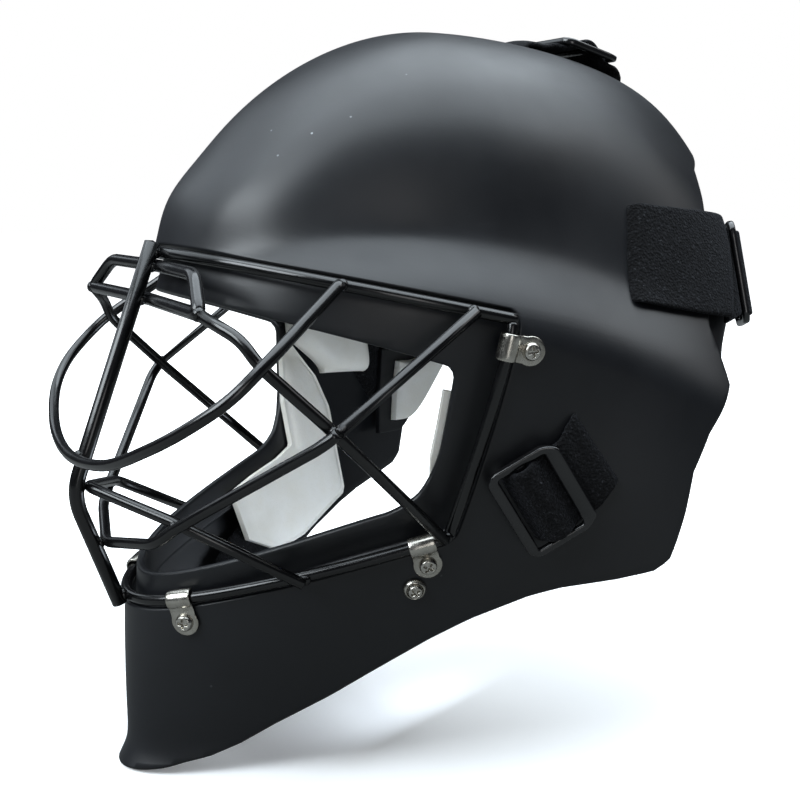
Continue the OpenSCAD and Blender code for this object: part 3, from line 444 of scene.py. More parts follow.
coat_mat = gloss_black("gloss powder coat", 0.5, 0.2, "#040405", "#0a0a0b", 25, 8.3,
                       (0.17, 0.28), 0.75, (1.92, 0.07))
nylon_mat = gloss_black("gloss moulded nylon", 0.6, 0.3, "#09090a", "#131315", 16.7, 7.1,
                        (0.16, 0.32), 0.8, (3.33, 0.12))
print("gloss finishes:", coat_mat.name, "and", nylon_mat.name)

# %% [markdown]
# ### Nickel plate on steel
# Clips and cup washers are pressed from sheet and nickel plated: bright and faintly yellow, with
# fine drawn lines and dull finger marks. The screws have the same plating, a little brighter. A
# metal has its colour in its reflection, so only the metallic base, its roughness and two bumps
# are needed.

# %% Nickel plate
def nickel_plate(name, tone, rough):
    """Clouded metal with finger marks, drawn lines and shallow dimples."""
    m, t, p, co = start_material(name, Metallic=1.0)
    cloud = add_node(t, "TexNoise", co, Scale=each(6.25), Detail=3, Roughness=0.55)
    base = add_node(t, "ValToRGB", {"Fac": cloud},
                    stops=[(0.25, srgb("#a9a59b")), (0.7, srgb(tone))])
    marks = add_node(t, "TexNoise", co, Scale=each(3.85), Detail=5, Roughness=0.65)
    marks = add_node(t, "ValToRGB", {"Fac": marks}, stops=[(0.3, rough[0]), (0.75, rough[1])])
    lines = add_node(t, "Mapping", co, Scale=(1.0, 1.0, 6.0))
    lines = add_node(t, "TexNoise", {"Vector": lines}, Scale=each(1.11), Detail=3, Roughness=0.55)
    n = add_node(t, "Bump", {"Height": lines}, Strength=0.08, Distance=0.0002)
    dimples = add_node(t, "TexNoise", co, Scale=each(4.55), Detail=2, Roughness=0.55)
    n = add_node(t, "Bump", {"Height": dimples, "Normal": n}, Strength=0.15, Distance=0.0004)
    feed(t, p, Base_Color=base, Roughness=marks, Normal=n)
    return m


nickel_mat = nickel_plate("nickel plated sheet", "#c9c6be", (0.16, 0.34))
screw_mat = nickel_plate("nickel plated screws", "#d2cfc8", (0.14, 0.28))
print("plating:", nickel_mat.name, "and", screw_mat.name)

# %% [markdown]
# ### Closed-cell foam
# The liner is cut from a block of ivory foam. The knife opens its cells, so the face is matte and
# full of pores, drawn here 0.9 mm wide, a little coarser than they are. Light goes a short way in,
# which softens the edges, and handling leaves faint yellow and grey clouds.

# %% Closed-cell foam
def foam_material():
    """Ivory clouds with painted shade in the pores, dented by the cells and by hands."""
    m, t, p, co = start_material("closed-cell foam", Roughness=0.72, Specular_IOR_Level=0.35,
                                 Subsurface_Weight=0.06, Subsurface_Radius=(0.002, 0.0018, 0.0014))
    tone = add_node(t, "TexNoise", co, Scale=each(36), Detail=4, Roughness=0.6)
    tone = add_node(t, "ValToRGB", {"Fac": tone}, stops=[
        (0.25, srgb("#e6e2d6")), (0.55, srgb("#f5f3ec")), (0.85, srgb("#ece7d9"))])
    # the pores are drawn darker: painted shade inside the open cells
    cell = add_node(t, "TexVoronoi", co, Scale=each(0.91))
    pore_shade = add_node(t, "ValToRGB", {"Fac": cell}, stops=[(0.0, 0.45), (0.25, 1.0)])
    base = add_node(t, "Mix", {"Factor": pore_shade, "B": tone}, "Result", data_type="RGBA",
                    A=srgb("#dad6ca"))
    n = add_node(t, "Bump", {"Height": cell}, Strength=0.12, Distance=0.0003)
    press = add_node(t, "TexNoise", co, Scale=each(16.7), Detail=3, Roughness=0.55)
    n = add_node(t, "Bump", {"Height": press, "Normal": n}, Strength=0.25, Distance=0.0014)
    feed(t, p, Base_Color=base, Normal=n)
    return m


foam_mat = foam_material()
print("foam:", foam_mat.name)

# %% [markdown]
# ### Elastic loop webbing
# The straps are woven elastic with a pile of tiny nylon loops. The pile swallows light and gives a
# deep black, with a thin sheen at grazing angles. A few grey flecks in the colour are painted
# glints where a loop catches the lamp. Thousands of modelled loops would cost much and look no
# better from here, so the loops are cells of 1 mm in a strong bump, coarser than the real ones,
# with a rougher fuzz over them.

# %% Elastic loop webbing
def web_material():
    """Pile of loops and fuzz over soft ribs."""
    m, t, p, co = start_material("elastic loop webbing", Roughness=0.93, Specular_IOR_Level=0.22,
                                 Sheen_Weight=0.3, Sheen_Roughness=0.45,
                                 Sheen_Tint=srgb("#5a5d66"))
    loops = add_node(t, "TexVoronoi", co, Scale=each(1))
    fuzz = add_node(t, "TexNoise", co, Scale=each(1.61), Detail=5, Roughness=0.75)
    pile = add_node(t, "Math", {0: loops, 1: fuzz}, operation="ADD")
    # the lightest greys of the fuzz are painted glints where a loop catches the lamp
    base = add_node(t, "ValToRGB", {"Fac": fuzz}, stops=[
        (0.38, srgb("#040405")), (0.56, srgb("#0c0c0e")), (0.66, srgb("#26272a")),
        (0.74, srgb("#6c6d72"))])
    n = add_node(t, "Bump", {"Height": pile}, Strength=0.8, Distance=0.0007)
    ribs = add_node(t, "TexNoise", co, Scale=each(4.17), Detail=2, Roughness=0.55)
    n = add_node(t, "Bump", {"Height": ribs, "Normal": n}, Strength=0.12, Distance=0.0008)
    feed(t, p, Base_Color=base, Normal=n)
    return m


web_mat = web_material()
print("materials:", len(bpy.data.materials))

# %% [markdown]
# ## Shell
# The hood of the real helmet is injection moulded: one even wall, a crisp step round the eye
# opening where the cage sits on a lowered flange, a pressed hollow on each side of the dome, and
# a rounded trim edge all round. It could be a box modelled surface with a Solidify modifier, but
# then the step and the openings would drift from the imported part. Instead a grid in (u, v) is
# warped so that its lines follow the step, the outline and the eye opening are cut out of it cell
# by cell, and the cut edge gets a small radius that joins the outer to the inner face.

# %% Outlines of the shell in the side view, as (y, z)
FRAME_TOP, FRAME_LOW = np.array([100.3, -22.6]), np.array([84.5, -104.5])
BROW_SLOPE, JAW_SLOPE = -0.219, 0.31
REAR_DIR = unit(FRAME_LOW - FRAME_TOP)
REAR_OUT = np.array([-REAR_DIR[1], REAR_DIR[0]])
JAW_DIR = -unit(np.array([1, JAW_SLOPE]))
JAW_OUT = unit(np.array([JAW_SLOPE, -1]))
BROW_OUT = unit(np.array([-BROW_SLOPE, 1.0]))
EYE_CORNER_R, FLANGE_CORNER_R = 4.0, 1.0
RIM = np.array([
    [-80, -206], [-16, -205.5], [-5, -202.5], [1, -200.2], [10, -197.6], [20, -192.7],
    [31.5, -184.8], [51, -172.7], [68, -160.4], [84, -149], [97.5, -140.6], [117, -131.5],
    [128, -127.7], [145, -124], [158, -120.4], [163.3, -116], [165.5, -108], [168, -98],
    [171, -82], [178, -68], [192, -51], [194, -26], [207, 15], [214, 30], [290, 64],
    [290, 120], [-80, 120]], float)
EYE = np.array([[-100, 17.4], [82.7, -42.4], [78.9, -84.5], [70.5, -97], [-100, -154]], float)


def polygon_distance(poly, y, z):
    """Signed distance to a closed polygon, negative inside: the nearest of its sides, and the
    number of sides crossed by a line to the left says which side of the outline it is."""
    best, inside = np.full(y.shape, 1e9), np.zeros(y.shape, bool)
    for a, b in zip(poly, np.roll(poly, -1, 0)):
        e = b - a
        t = np.clip(((y - a[0]) * e[0] + (z - a[1]) * e[1]) / (e @ e), 0, 1)
        best = np.minimum(best, np.hypot(y - a[0] - t * e[0], z - a[1] - t * e[1]))
        hit = (a[1] > z) != (b[1] > z)
        with np.errstate(divide="ignore", invalid="ignore"):
            inside ^= hit & (y < a[0] + (b[0] - a[0]) * (z - a[1]) / (b[1] - a[1]))
    return np.where(inside, -best, best)


def corner_distance(lines, y, z, r):
    """Distance outside a convex region given by (point, outward way) lines, with corners of
    radius r; negative inside."""
    d = np.stack([(y - p[0]) * n[0] + (z - p[1]) * n[1] for p, n in lines]) + r
    far = np.sqrt(np.sum(np.clip(d, 0, None)**2, 0))
    top = d.max(0)
    return np.where(top > 0, far, top) - r


def eye_distance(y, z):
    """Distance outside the eye opening."""
    ways = [unit(b - a) for a, b in zip(EYE[:-1], EYE[1:])]
    lines = [(a, np.array([-e[1], e[0]])) for a, e in zip(EYE, ways)]
    return corner_distance(lines, y, z, EYE_CORNER_R)


def window_distance(y, z):
    """Distance outside the cage frame's centre line."""
    return corner_distance([(FRAME_TOP, BROW_OUT), (FRAME_TOP, REAR_OUT), (FRAME_LOW, JAW_OUT)],
                           y, z, FLANGE_CORNER_R)


def trim_distance(u, v):
    """Signed distance to the trim edge of the shell, negative in the material."""
    p = skin0(u, v)
    y, z = p[..., 1], p[..., 2]
    return np.maximum(polygon_distance(RIM, y, z), -eye_distance(y, z))


print("outline of", len(RIM), "points, eye opening of", len(EYE))

# %% Outer and inner face
STEP_FROM, STEP_TO, INNER_SHIFT = 1.7, 3.7, 2.2


def moulded(u, v, inner=False):
    """Outer or inner face of the shell: the flange lies lower inside a rounded step."""
    p = skin0(u, v)
    y, z = p[..., 1], p[..., 2]
    shift = INNER_SHIFT if inner else 0.0
    step = 1 - ease(STEP_FROM + shift, STEP_TO + shift, window_distance(y, z))
    h = swell(p) - flange_depth(y) * step - (WALL if inner else 0.0)
    return p + facing(u, v) * h[..., None]


def line_v(u, point, slope):
    """Height number at which the level line through point with this side-view slope passes u."""
    z = np.full(np.shape(u), float(point[1]))
    for _ in range(12):
        z = 0.5 * z + 0.5 * (point[1] + slope * (skin0(u, v_at(z))[..., 1] - point[0]))
    return v_at(z)


print("flange %.1f mm deep at the front, %.1f at the side" % (
    flange_depth(0), flange_depth(FRONT_TO_SIDE)))

# %% Shell grid, its lines drawn to the step of the flange
DOWN = [58, 9, 34, 9, 44]  # rows: dome, step over the eye, flange and opening, lower step, chin
ROUND = [56, 9, 9]  # columns from the front to the rear step and over it
REST, LAST_V = 64, 7.9  # columns on to the rear, and the lowest row's height number
REAR_STEP = (-2.0, 2.6, 7.0)  # columns before, after and well behind the rear step, in mm
STEP_V = (0.025, 0.115)  # rows inside and outside of the brow and jaw step, in height numbers


def shell_grid():
    """(u, v) of the warped grid: rounds of easing move its rows and columns to the step."""
    s = [np.linspace(k, k + 1, n, endpoint=False) for k, n in enumerate(DOWN)]
    a = [np.linspace(k, k + 1, n, endpoint=False) for k, n in enumerate(ROUND)]
    A, T = np.meshgrid(np.concatenate(a + [np.linspace(3, 4, REST)]),
                       np.concatenate(s + [[len(DOWN)]]), indexing="ij")
    U, V = A / 2, 8 * T / 5
    for _ in range(8):
        z = skin0(U, V)[..., 2]
        rear_y = FRAME_TOP[0] + (z - FRAME_TOP[1]) * (FRAME_LOW[0] - FRAME_TOP[0]) / (
            FRAME_LOW[1] - FRAME_TOP[1])
        rear_y = np.clip(rear_y, FRAME_LOW[0] - 14, FRAME_TOP[0] + 22)
        u1, u2, u3 = (u_at(rear_y + k, V) for k in REAR_STEP)
        un = np.select([A < 1, A < 2, A < 3], [u1 * A, u1 + (u2 - u1) * (A - 1),
                                               u2 + (u3 - u2) * (A - 2)], u3 + (2 - u3) * (A - 3))
        U = 0.4 * U + 0.6 * un
        brow, jaw = line_v(U, FRAME_TOP, BROW_SLOPE), line_v(U, FRAME_LOW, JAW_SLOPE)
        jaw = np.maximum(jaw, brow + 0.6)
        marks = [np.zeros_like(brow), brow - STEP_V[1], brow - STEP_V[0], jaw + STEP_V[0],
                 jaw + STEP_V[1], np.full_like(brow, LAST_V)]
        vn = V.copy()
        for k in range(len(DOWN)):
            on = (T >= k) & (T <= k + 1)
            vn = np.where(on, marks[k] + (marks[k + 1] - marks[k]) * (T - k), vn)
        V = 0.4 * V + 0.6 * vn
    return np.concatenate([-U[:0:-1], U]), np.concatenate([V[:0:-1], V])


grid_u, grid_v = shell_grid()
print("shell grid", grid_u.shape)

# %% The trim edge
EDGE_R = 1.2


def cut_points(u, v, s, a, b, start):
    """Where the grid lines from the places a to the places b cross the trim edge."""
    hit = (s[a] < 0) != (s[b] < 0)
    ua, va, ub, vb = u[a][hit], v[a][hit], u[b][hit], v[b][hit]
    first = s[a][hit] < 0
    k = halved(lambda q: (trim_distance(ua + (ub - ua) * q, va + (vb - va) * q) + EDGE_R < 0)
               == first, np.zeros(hit.sum()), np.ones(hit.sum()), 18)
    k = np.clip(k, 0.02, 0.98)
    ids = np.full(hit.shape, -1)
    ids[hit] = start + np.arange(hit.sum())
    return ids, ua + (ub - ua) * k, va + (vb - va) * k


def rim_frame(u, v, h=1e-3):
    """At the trim edge: the normal, and the way in the surface that leads out of the material,
    which is the slope of the trim distance."""
    du, dv = skin0(u + h, v) - skin0(u - h, v), skin0(u, v + h) - skin0(u, v - h)
    su = trim_distance(u + h, v) - trim_distance(u - h, v)
    sv = trim_distance(u, v + h) - trim_distance(u, v - h)
    n = facing(u, v)
    g = np.cross(dv, n) * su[:, None] + np.cross(n, du) * sv[:, None]
    det = np.sum(np.cross(dv, n) * du, -1, keepdims=True)
    return n, unit(g / np.where(np.abs(det) < 1e-12, 1e-12, det))


def edge_rings(outer, inner, n, out):
    """Rings of the rounded edge: a quarter circle down from each face, 30 degrees a step."""
    rings = []
    for face, down, turns in ((outer, -1, (30, 60, 90)), (inner, 1, (90, 60, 30))):
        for a in np.radians(turns):
            rings.append(face + out * EDGE_R * math.sin(a) + down * n * EDGE_R * (1 - math.cos(a)))
    return rings


print("edge radius %.1f mm on a wall of %.1f mm" % (EDGE_R, WALL))

# %% Cut the grid cell by cell and join the two faces
# each case: which corners (bits) are material, and the walk of its outline; 4 to 7 are cut edges
CASES = {1: [0, 4, 7], 2: [4, 1, 5], 3: [0, 1, 5, 7], 4: [5, 2, 6], 5: [0, 4, 5, 2, 6, 7],
         6: [4, 1, 2, 6], 7: [0, 1, 2, 6, 7], 8: [7, 6, 3], 9: [0, 4, 6, 3],
         10: [4, 1, 5, 6, 3, 7], 11: [0, 1, 5, 6, 3], 12: [7, 5, 2, 3], 13: [0, 4, 5, 2, 3],
         14: [4, 1, 2, 3, 7], 15: [0, 1, 2, 3]}


def cell_faces(own, along_u, along_v, material):
    """Faces of the cut cells, and the pairs of cut points that make the trim edge."""
    c = [own[:-1, :-1], own[1:, :-1], own[1:, 1:], own[:-1, 1:]]
    corner = np.stack(c + [along_u[:, :-1], along_v[1:, :], along_u[:, 1:], along_v[:-1, :]], -1)
    code = sum(material[q].astype(int) << k for k, q in enumerate(c))
    faces, rims = [], []
    for case, walk in CASES.items():
        f = corner[code == case][:, walk]
        faces += f.tolist()
        w = walk + walk[:1]
        rims += [f[:, [k, (k + 1) % len(walk)]] for k in range(len(walk))
                 if w[k] > 3 and w[k + 1] > 3]
    return faces, np.concatenate(rims)


def shell_piece(u, v):
    """Outer face, rounded trim edge and inner face of the shell as one closed mesh."""
    s = trim_distance(u, v) + EDGE_R
    s = np.where(np.abs(s) < 0.02, -0.02, s)
    along_u, u1, v1 = cut_points(u, v, s, np.s_[:-1, :], np.s_[1:, :], u.size)
    along_v, u2, v2 = cut_points(u, v, s, np.s_[:, :-1], np.s_[:, 1:], u.size + len(u1))
    au, av = np.concatenate([u.ravel(), u1, u2]), np.concatenate([v.ravel(), v1, v2])
    faces, rims = cell_faces(np.arange(u.size).reshape(u.shape), along_u, along_v, s.ravel() < 0)
    outer, inner = moulded(au, av), moulded(au, av, True)
    edge = np.unique(rims)
    rings = edge_rings(outer[edge], inner[edge], *rim_frame(au[edge], av[edge]))
    total = len(au)
    slot = np.full(total, -1)
    slot[edge] = np.arange(len(edge))
    layer = [rims] + [2 * total + k * len(edge) + slot[rims] for k in range(len(rings))]
    layer.append(rims + total)
    walls = [f for a, b in zip(layer[:-1], layer[1:])
             for f in np.stack([a[:, 0], b[:, 0], b[:, 1], a[:, 1]], -1).tolist()]
    faces = faces + [[k + total for k in f[::-1]] for f in faces] + walls
    pts = np.concatenate([outer, inner] + rings)
    used = np.unique(np.concatenate([np.array(q) for q in faces]))
    back = np.full(len(pts), -1)
    back[used] = np.arange(len(used))
    return pts[used], [back[q].tolist() for q in faces]


shell = shell_piece(grid_u, grid_v)
add_mesh("shell_hood", shell, "shell_assembly", shell_mat, "shell_plastic", "shell")
print("shell:", len(shell[0]), "points", len(shell[1]), "faces")

# %% [markdown]
# ## Cage
# Eleven bars of steel rod, bent and butt welded, then powder coated as one piece. The frame of
# four bars follows the flange; the curved bars pass in front of or behind each other and touch at
# the welds. A curve object with a round bevel would give such rods too, but its ends stay flat and
# its mesh is known only late. So each bar is a circle carried along its path by numpy, with a domed
# end. A weld shows as a small ring of melt, so every crossing gets a soft bead.

# %% Paths and rods
def tangents(p, closed=False):
    """Ways of a path at its points: the mean of the two legs that meet there."""
    p = np.asarray(p, float)
    if closed:
        return unit(unit(np.roll(p, -1, 0) - p) + unit(p - np.roll(p, 1, 0)))
    d = unit(np.diff(p, axis=0))
    return unit(np.concatenate([d[:1], d[:-1] + d[1:], d[-1:]]))


def resampled(path, step):
    """Points at even distances along a path."""
    p = np.asarray(path, float)
    s = np.concatenate([[0], np.cumsum(np.linalg.norm(np.diff(p, axis=0), axis=1))])
    n = max(2, int(round(s[-1] / step)) + 1)
    q = np.linspace(0, s[-1], n)
    return np.stack([np.interp(q, s, p[:, k]) for k in range(p.shape[1])], -1)


def bent(path, steps=9):
    """Path of (point, trim) with each corner turned into a parabola between its trimmed legs."""
    pts = []
    for i, (p, d) in enumerate(path):
        p = np.asarray(p, float)
        if i in (0, len(path) - 1) or d == 0:
            pts.append(p)
            continue
        a = p + unit(np.asarray(path[i - 1][0], float) - p) * d
        b = p + unit(np.asarray(path[i + 1][0], float) - p) * d
        for t in np.linspace(0, 1, steps):
            pts.append((1 - t)**2 * a + 2 * t * (1 - t) * p + t * t * b)
    return np.array(pts)


def spline(points, k):
    """Catmull-Rom curve through points, k steps from one to the next."""
    p = np.asarray(points, float)
    t = np.arange(k)[:, None] / k
    out = []
    for i in range(len(p) - 1):
        a, b, c, d = p[max(i - 1, 0)], p[i], p[i + 1], p[min(i + 2, len(p) - 1)]
        out.append(0.5 * (2 * b + (c - a) * t + (2 * a - 5 * b + 4 * c - d) * t**2
                          + (3 * b - a - 3 * c + d) * t**3))
    return np.concatenate(out + [p[-1:]])


SIDES = 20
# rings of a domed end: their radii and their places, as shares of the rod's radius and the dome
DOME_R, DOME_AT = [0.0, 0.35, 0.75, 0.95], [0.0, 0.35, 0.7, 0.9]


def tube(path, d, closed=False):
    """Round rod: circles of diameter d carried along the path without twist. The first way across
    is passed on from point to point, made square to the path each time."""
    p = np.asarray(path, float)
    t = tangents(p, closed)
    r = np.zeros_like(p)
    a = np.array([1.0, 0, 0]) if abs(t[0, 0]) < 0.8 else np.array([0, 1.0, 0])
    for i in range(len(p)):
        a = unit(a - t[i] * (a @ t[i]))
        r[i] = a
    size = np.full(len(p), d / 2)
    if closed:
        q = unit(r[0] - t[-1] * (r[0] @ t[-1]))
        miss = math.atan2(np.cross(r[-1], q) @ t[-1], r[-1] @ q)
        k = (miss * np.arange(len(p)) / len(p))[:, None]
        r = r * np.cos(k) + np.cross(t, r) * np.sin(k)
    else:
        rise = [0.25 * d * (0.6 - 0.6 * k) for k in DOME_AT]
        head = [p[0] - t[0] * k for k in rise]
        tail = [p[-1] + t[-1] * k for k in rise][::-1]
        more = len(DOME_R)
        p = np.concatenate([head, p, tail])
        t, r = (np.concatenate([np.repeat(w[:1], more, 0), w, np.repeat(w[-1:], more, 0)])
                for w in (t, r))
        s = np.array(DOME_R) * d / 2 + 1e-3
        size = np.concatenate([s, size, s[::-1]])
    g = 2 * np.pi * np.arange(SIDES) / SIDES
    b = np.cross(t, r)
    ring = np.cos(g)[None, :, None] * r[:, None] + np.sin(g)[None, :, None] * b[:, None]
    pts = p[:, None] + size[:, None, None] * ring
    return pts.reshape(-1, 3), quads(len(p), SIDES, closed, True, flip=True)


print("rod of", SIDES, "sides")

# %% Frame bars: they lie over the flange along straight lines of the side view
ROD, CENTRE_ROD, VISOR_ROD, WELD, GAP = 4.4, 6.0, 5.0, 0.4, 0.4
RAIL, TOUCH = ROD / 2 - 1, ROD - WELD
JAW_DIP = 1.8


def rail(u, p, slope, dip=0.0):
    """Points of a frame bar lying over the flange along a side-view line."""
    u = np.asarray(u, float)
    z = np.full(u.shape, float(p[1]))
    for _ in range(6):
        z = p[1] + slope * (skin0(u, v_at(z))[..., 1] - p[0])
    q = skin0(u, v_at(z))
    return skin(u, v_at(z), RAIL - dip * (1 - ease(0, 60, q[..., 1])))


def brow_seat(y, h):
    """Point h over the left side on the line of the brow bar."""
    return seat(y, FRAME_TOP[1] + BROW_SLOPE * (y - FRAME_TOP[0]), h)


u_top = float(u_at(FRAME_TOP[0], v_at(FRAME_TOP[1])))
u_low = float(u_at(FRAME_LOW[0], v_at(FRAME_LOW[1])))
brow_path = rail(np.linspace(-1, 1, 121) * (u_top + 0.006), FRAME_TOP, BROW_SLOPE)
jaw_path = rail(np.linspace(-1, 1, 121) * u_low, FRAME_LOW, JAW_SLOPE, JAW_DIP)
brow_mid, jaw_mid = brow_path[60], jaw_path[60]
rear_top, rear_low = seat(*FRAME_TOP, RAIL), seat(*FRAME_LOW, RAIL)
k = np.linspace(0.03, 0.97, 40)[:, None]
side_mid = FRAME_TOP + k * (FRAME_LOW - FRAME_TOP)
side_path = np.concatenate([[rear_top], seat(side_mid[:, 0], side_mid[:, 1], RAIL), [rear_low]])
side_path[0] += unit(side_path[1] - rear_top) * (ROD / 2 - WELD)
side_path[-1] += unit(side_path[-2] - rear_low) * (ROD / 2 - WELD)
print("frame bars: brow %.0f mm wide" % np.ptp(brow_path[:, 0]))

# %% Centre bar and visor loop
# the centre bar leans, so along Y other bars touch it a little off the sum of the radii
LEAN, VISOR_LEAN, V_LEAN = 1.06, 1.07, 0.95
c_touch = (CENTRE_ROD + ROD) / 2 - WELD
knee = np.array([0, -34.2, -92.9])
c_high = brow_mid - [0, c_touch * LEAN, 0]
c_top = c_high + unit(c_high - knee) * 4
leg_lean = math.atan2(-20 - knee[1], 36)
c_low = jaw_mid - [0, c_touch / math.cos(leg_lean), 0]
c_end = c_low + unit(c_low - knee) * 3.5
centre_path = bent([(c_top, 0), (knee, 9), (c_end, 0)], 13)


def on_centre(z, back=0.0):
    """Point on the centre bar's line at height z, or a way behind it."""
    a, b = (c_top, knee) if z > knee[2] else (knee, c_low)
    return np.array([0, a[1] + (z - a[2]) * (b[1] - a[1]) / (b[2] - a[2]) + back, z])


v_back = ((CENTRE_ROD + VISOR_ROD) / 2 - WELD) * VISOR_LEAN
VISOR_HIGH_Z, VISOR_LOW_Z, VISOR_BOW = -6.5, -19, 3.5
high_mid, low_y = on_centre(VISOR_HIGH_Z, v_back), on_centre(-18.5, v_back)[1]
visor_high = np.array([53, high_mid[1] - VISOR_BOW, VISOR_HIGH_Z])
visor_low = np.array([69.9, low_y - VISOR_BOW, VISOR_LOW_Z])
v_left = bent([(high_mid, 0), (visor_high, 6), (visor_low, 6), ((0, low_y, VISOR_LOW_Z), 0)])
visor_path = np.concatenate([v_left, other(v_left[-2:0:-1])])
print("centre bar stands %.0f mm before the brow at its knee" % (brow_mid[1] - knee[1]))

# %% U bars, cat-eye bars and V bar, with the places where they cross
cross_c, cross_d = np.array([95.2, 8.3, -33.6]), np.array([99.2, 31.9, -58.2])
cross_e = np.array([43.2, -8.5, -99.9])
UPPER_MID_Z, LOWER_MID_Z, V_MID_Z = -78, -113, -90


def behind(p, t1, t2):
    """Where a second bar passes behind the bar through p: along the common normal of both."""
    n = unit(np.cross(t1, t2))
    s = 1 if n @ np.array([p[0], p[1] - 90, 0]) > 0 else -1
    return p - n * s * TOUCH


up0 = brow_seat(44, RAIL + TOUCH - 0.35)
up_half = [up0, (up0 + cross_c) / 2, cross_c] + [np.array(p, float) for p in (
    (95, -4.2, -44.4), (86.5, -15.1, -54), (68.9, -24, -63.8), (38.3, -31, -74.3))]
up_mid = on_centre(UPPER_MID_Z, -c_touch * LEAN)
upper_path = spline(up_half + [up_mid] + [other(p) for p in up_half[::-1]], 10)

low0 = brow_seat(86, RAIL + TOUCH)
low_mid = on_centre(LOWER_MID_Z, c_touch)
low_bend = np.array([53.3, -1.4, -92.5])
low_half = [(low0, 0), (cross_d, 0), (np.array([98.1, 28.2, -61.6]), 7), (low_bend, 0),
            (cross_e, 0), (np.array([36.5, -13.3, -106.2]), 7)]
lower_path = bent(low_half + [(low_mid, 5)] + [(other(p), d) for p, d in low_half[::-1]])

cat_end = seat(FRAME_LOW[0] - 1.5, FRAME_LOW[1] + 1, RAIL + TOUCH - 0.4)
cat_c = behind(cross_c, cross_c - up0, cross_d - cross_c)
cat_d = behind(cross_d, cross_d - low0, cat_end - cross_d)
cat_bend = np.array([85.6, 3.1, -26.2])
cat_a = visor_low - 0.3 * unit(cat_bend - visor_low)
cat_path = bent([(cat_a, 0), (cat_bend, 5), (cat_c, 5), (cat_d, 8), (cat_end, 0)])

V_U = 0.545
v0 = rail(V_U, FRAME_LOW, JAW_SLOPE) + (TOUCH - 0.3) * facing(V_U, v_at(-120)) - [0, 0, 1]
v_e = behind(cross_e, cross_e - low_bend, cross_e - v0)
v_mid = on_centre(V_MID_Z, c_touch * V_LEAN)
v_path = bent([(v0, 0), (v_e, 6), (v_mid, 6), (other(v_e), 6), (other(v0), 0)])
print("lower U bar reaches %.0f mm before the brow" % (brow_mid[1] - lower_path[:, 1].min()))


# %% Weld beads
def bead(a, b, r):
    """Weld bead: an ellipsoid of melt over the touching place of two bars."""
    c, way = (a + b) / 2, unit(b - a)
    th = np.linspace(0, np.pi, 9)[:, None]
    ph = np.linspace(0, 2 * np.pi, 16, endpoint=False)[None]
    s = np.stack([np.sin(th) * np.cos(ph), np.sin(th) * np.sin(ph),
                  np.cos(th) * np.ones_like(ph)], -1)
    s[0, :, :2] += 1e-4 * s[1, :, :2]
    s[-1, :, :2] += 1e-4 * s[-2, :, :2]
    e = unit(np.cross(way, [0.3, 0.2, 0.9]))
    f = np.cross(way, e)
    p = c + r * (s[..., :1] * e + s[..., 1:2] * f + 0.8 * s[..., 2:] * way)
    return p.reshape(-1, 3), quads(9, 16, False, True, flip=True)


def near(path, p):
    """Point of a path nearest to p."""
    return path[np.argmin(np.linalg.norm(path - p, axis=1))]


def on_bar(path, p, r=2.3):
    """The same bead on both sides, between p and the bar that it is welded to."""
    return [(q, near(path, q), r) for q in (p, other(p))]


WELDS = {
    "brow_bar": [(c_high, brow_mid, 2.6)] + on_bar(brow_path, up0) + on_bar(brow_path, low0),
    "jaw_bar": [(c_low, jaw_mid, 2.6)] + on_bar(jaw_path, v0),
    "v_bar": [(v_e, cross_e, 2.2), (other(v_e), other(cross_e), 2.2),
              (v_mid, on_centre(V_MID_Z), 2.3)],
    "lower_u_bar": [(low_mid, on_centre(LOWER_MID_Z), 2.4)],
    "upper_u_bar": [(up_mid, on_centre(UPPER_MID_Z), 2.4)],
    "visor_loop": [(on_centre(z, v_back), on_centre(z), 2.5) for z in (VISOR_HIGH_Z, VISOR_LOW_Z)],
    "cat_eye_bar_left": [(cat_c, cross_c, 2.2), (cat_d, cross_d, 2.2), (cat_a, visor_low, 2.7),
                         (cat_end, near(side_path, cat_end), 2.3)]}
WELDS["cat_eye_bar_right"] = [(other(a), other(b), r) for a, b, r in WELDS["cat_eye_bar_left"]]
print("beads:", sum(len(w) for w in WELDS.values()))

# %% The eleven bars
BARS = {
    "brow_bar": (resampled(brow_path, 2.5), ROD), "jaw_bar": (resampled(jaw_path, 2.5), ROD),
    "centre_bar": (centre_path, CENTRE_ROD), "upper_u_bar": (resampled(upper_path, 2.2), ROD),
    "lower_u_bar": (lower_path, ROD), "cat_eye_bar_left": (cat_path, ROD),
    "cat_eye_bar_right": (other(cat_path), ROD), "v_bar": (v_path, ROD),
    "side_bar_left": (side_path, ROD), "side_bar_right": (other(side_path), ROD),
    "visor_loop": (visor_path, VISOR_ROD)}
for name, (path, d) in BARS.items():
    parts = [tube(path, d, name == "visor_loop")] + [bead(*w) for w in WELDS.get(name, [])]
    add_mesh(name + "_rod", join(parts), "shell_assembly", coat_mat, "cage_coat", name)
print("cage bars:", len(BARS))

# %% [markdown]
# ## Clips and screws
# A cage clip is a strip of nickelled steel, 1.2 mm thick, pressed round the rod at one end and cut
# to a round tab at the other, where a pan head screw holds it down. A cup washer carries the screw
# of the chin strap. They are small but bright, so the eye goes to them first: each gets its true
# form, with rolled edges and a real cross recess, where a bump would stay flat in the highlight.

# %% Places of clips and screws
CLIP_T, CLIP_W, TAB_D = 1.2, 10.0, 11.0
SCREW, HEAD_D, HEAD_H, CUP_D, WASHER_H = 3.5, 7.0, 2.2, 9.0, 1.8
NUT_D, RISER = 1.7 * SCREW, 0.63 * WALL
REACH = ROD / 2 + GAP + RISER + NUT_D / 2 + 2.5 * GAP  # from the rod's line to the screw
# each clip: place on the bar in the side view, the bar's way, the way out, the bar's dip
CLIPS = [(FRAME_TOP + REAR_DIR * 10, REAR_DIR, REAR_OUT, 0.0),
         (FRAME_LOW + JAW_DIR * 9, JAW_DIR, JAW_OUT, JAW_DIP),
         (FRAME_LOW + JAW_DIR * 90, JAW_DIR, JAW_OUT, JAW_DIP)]


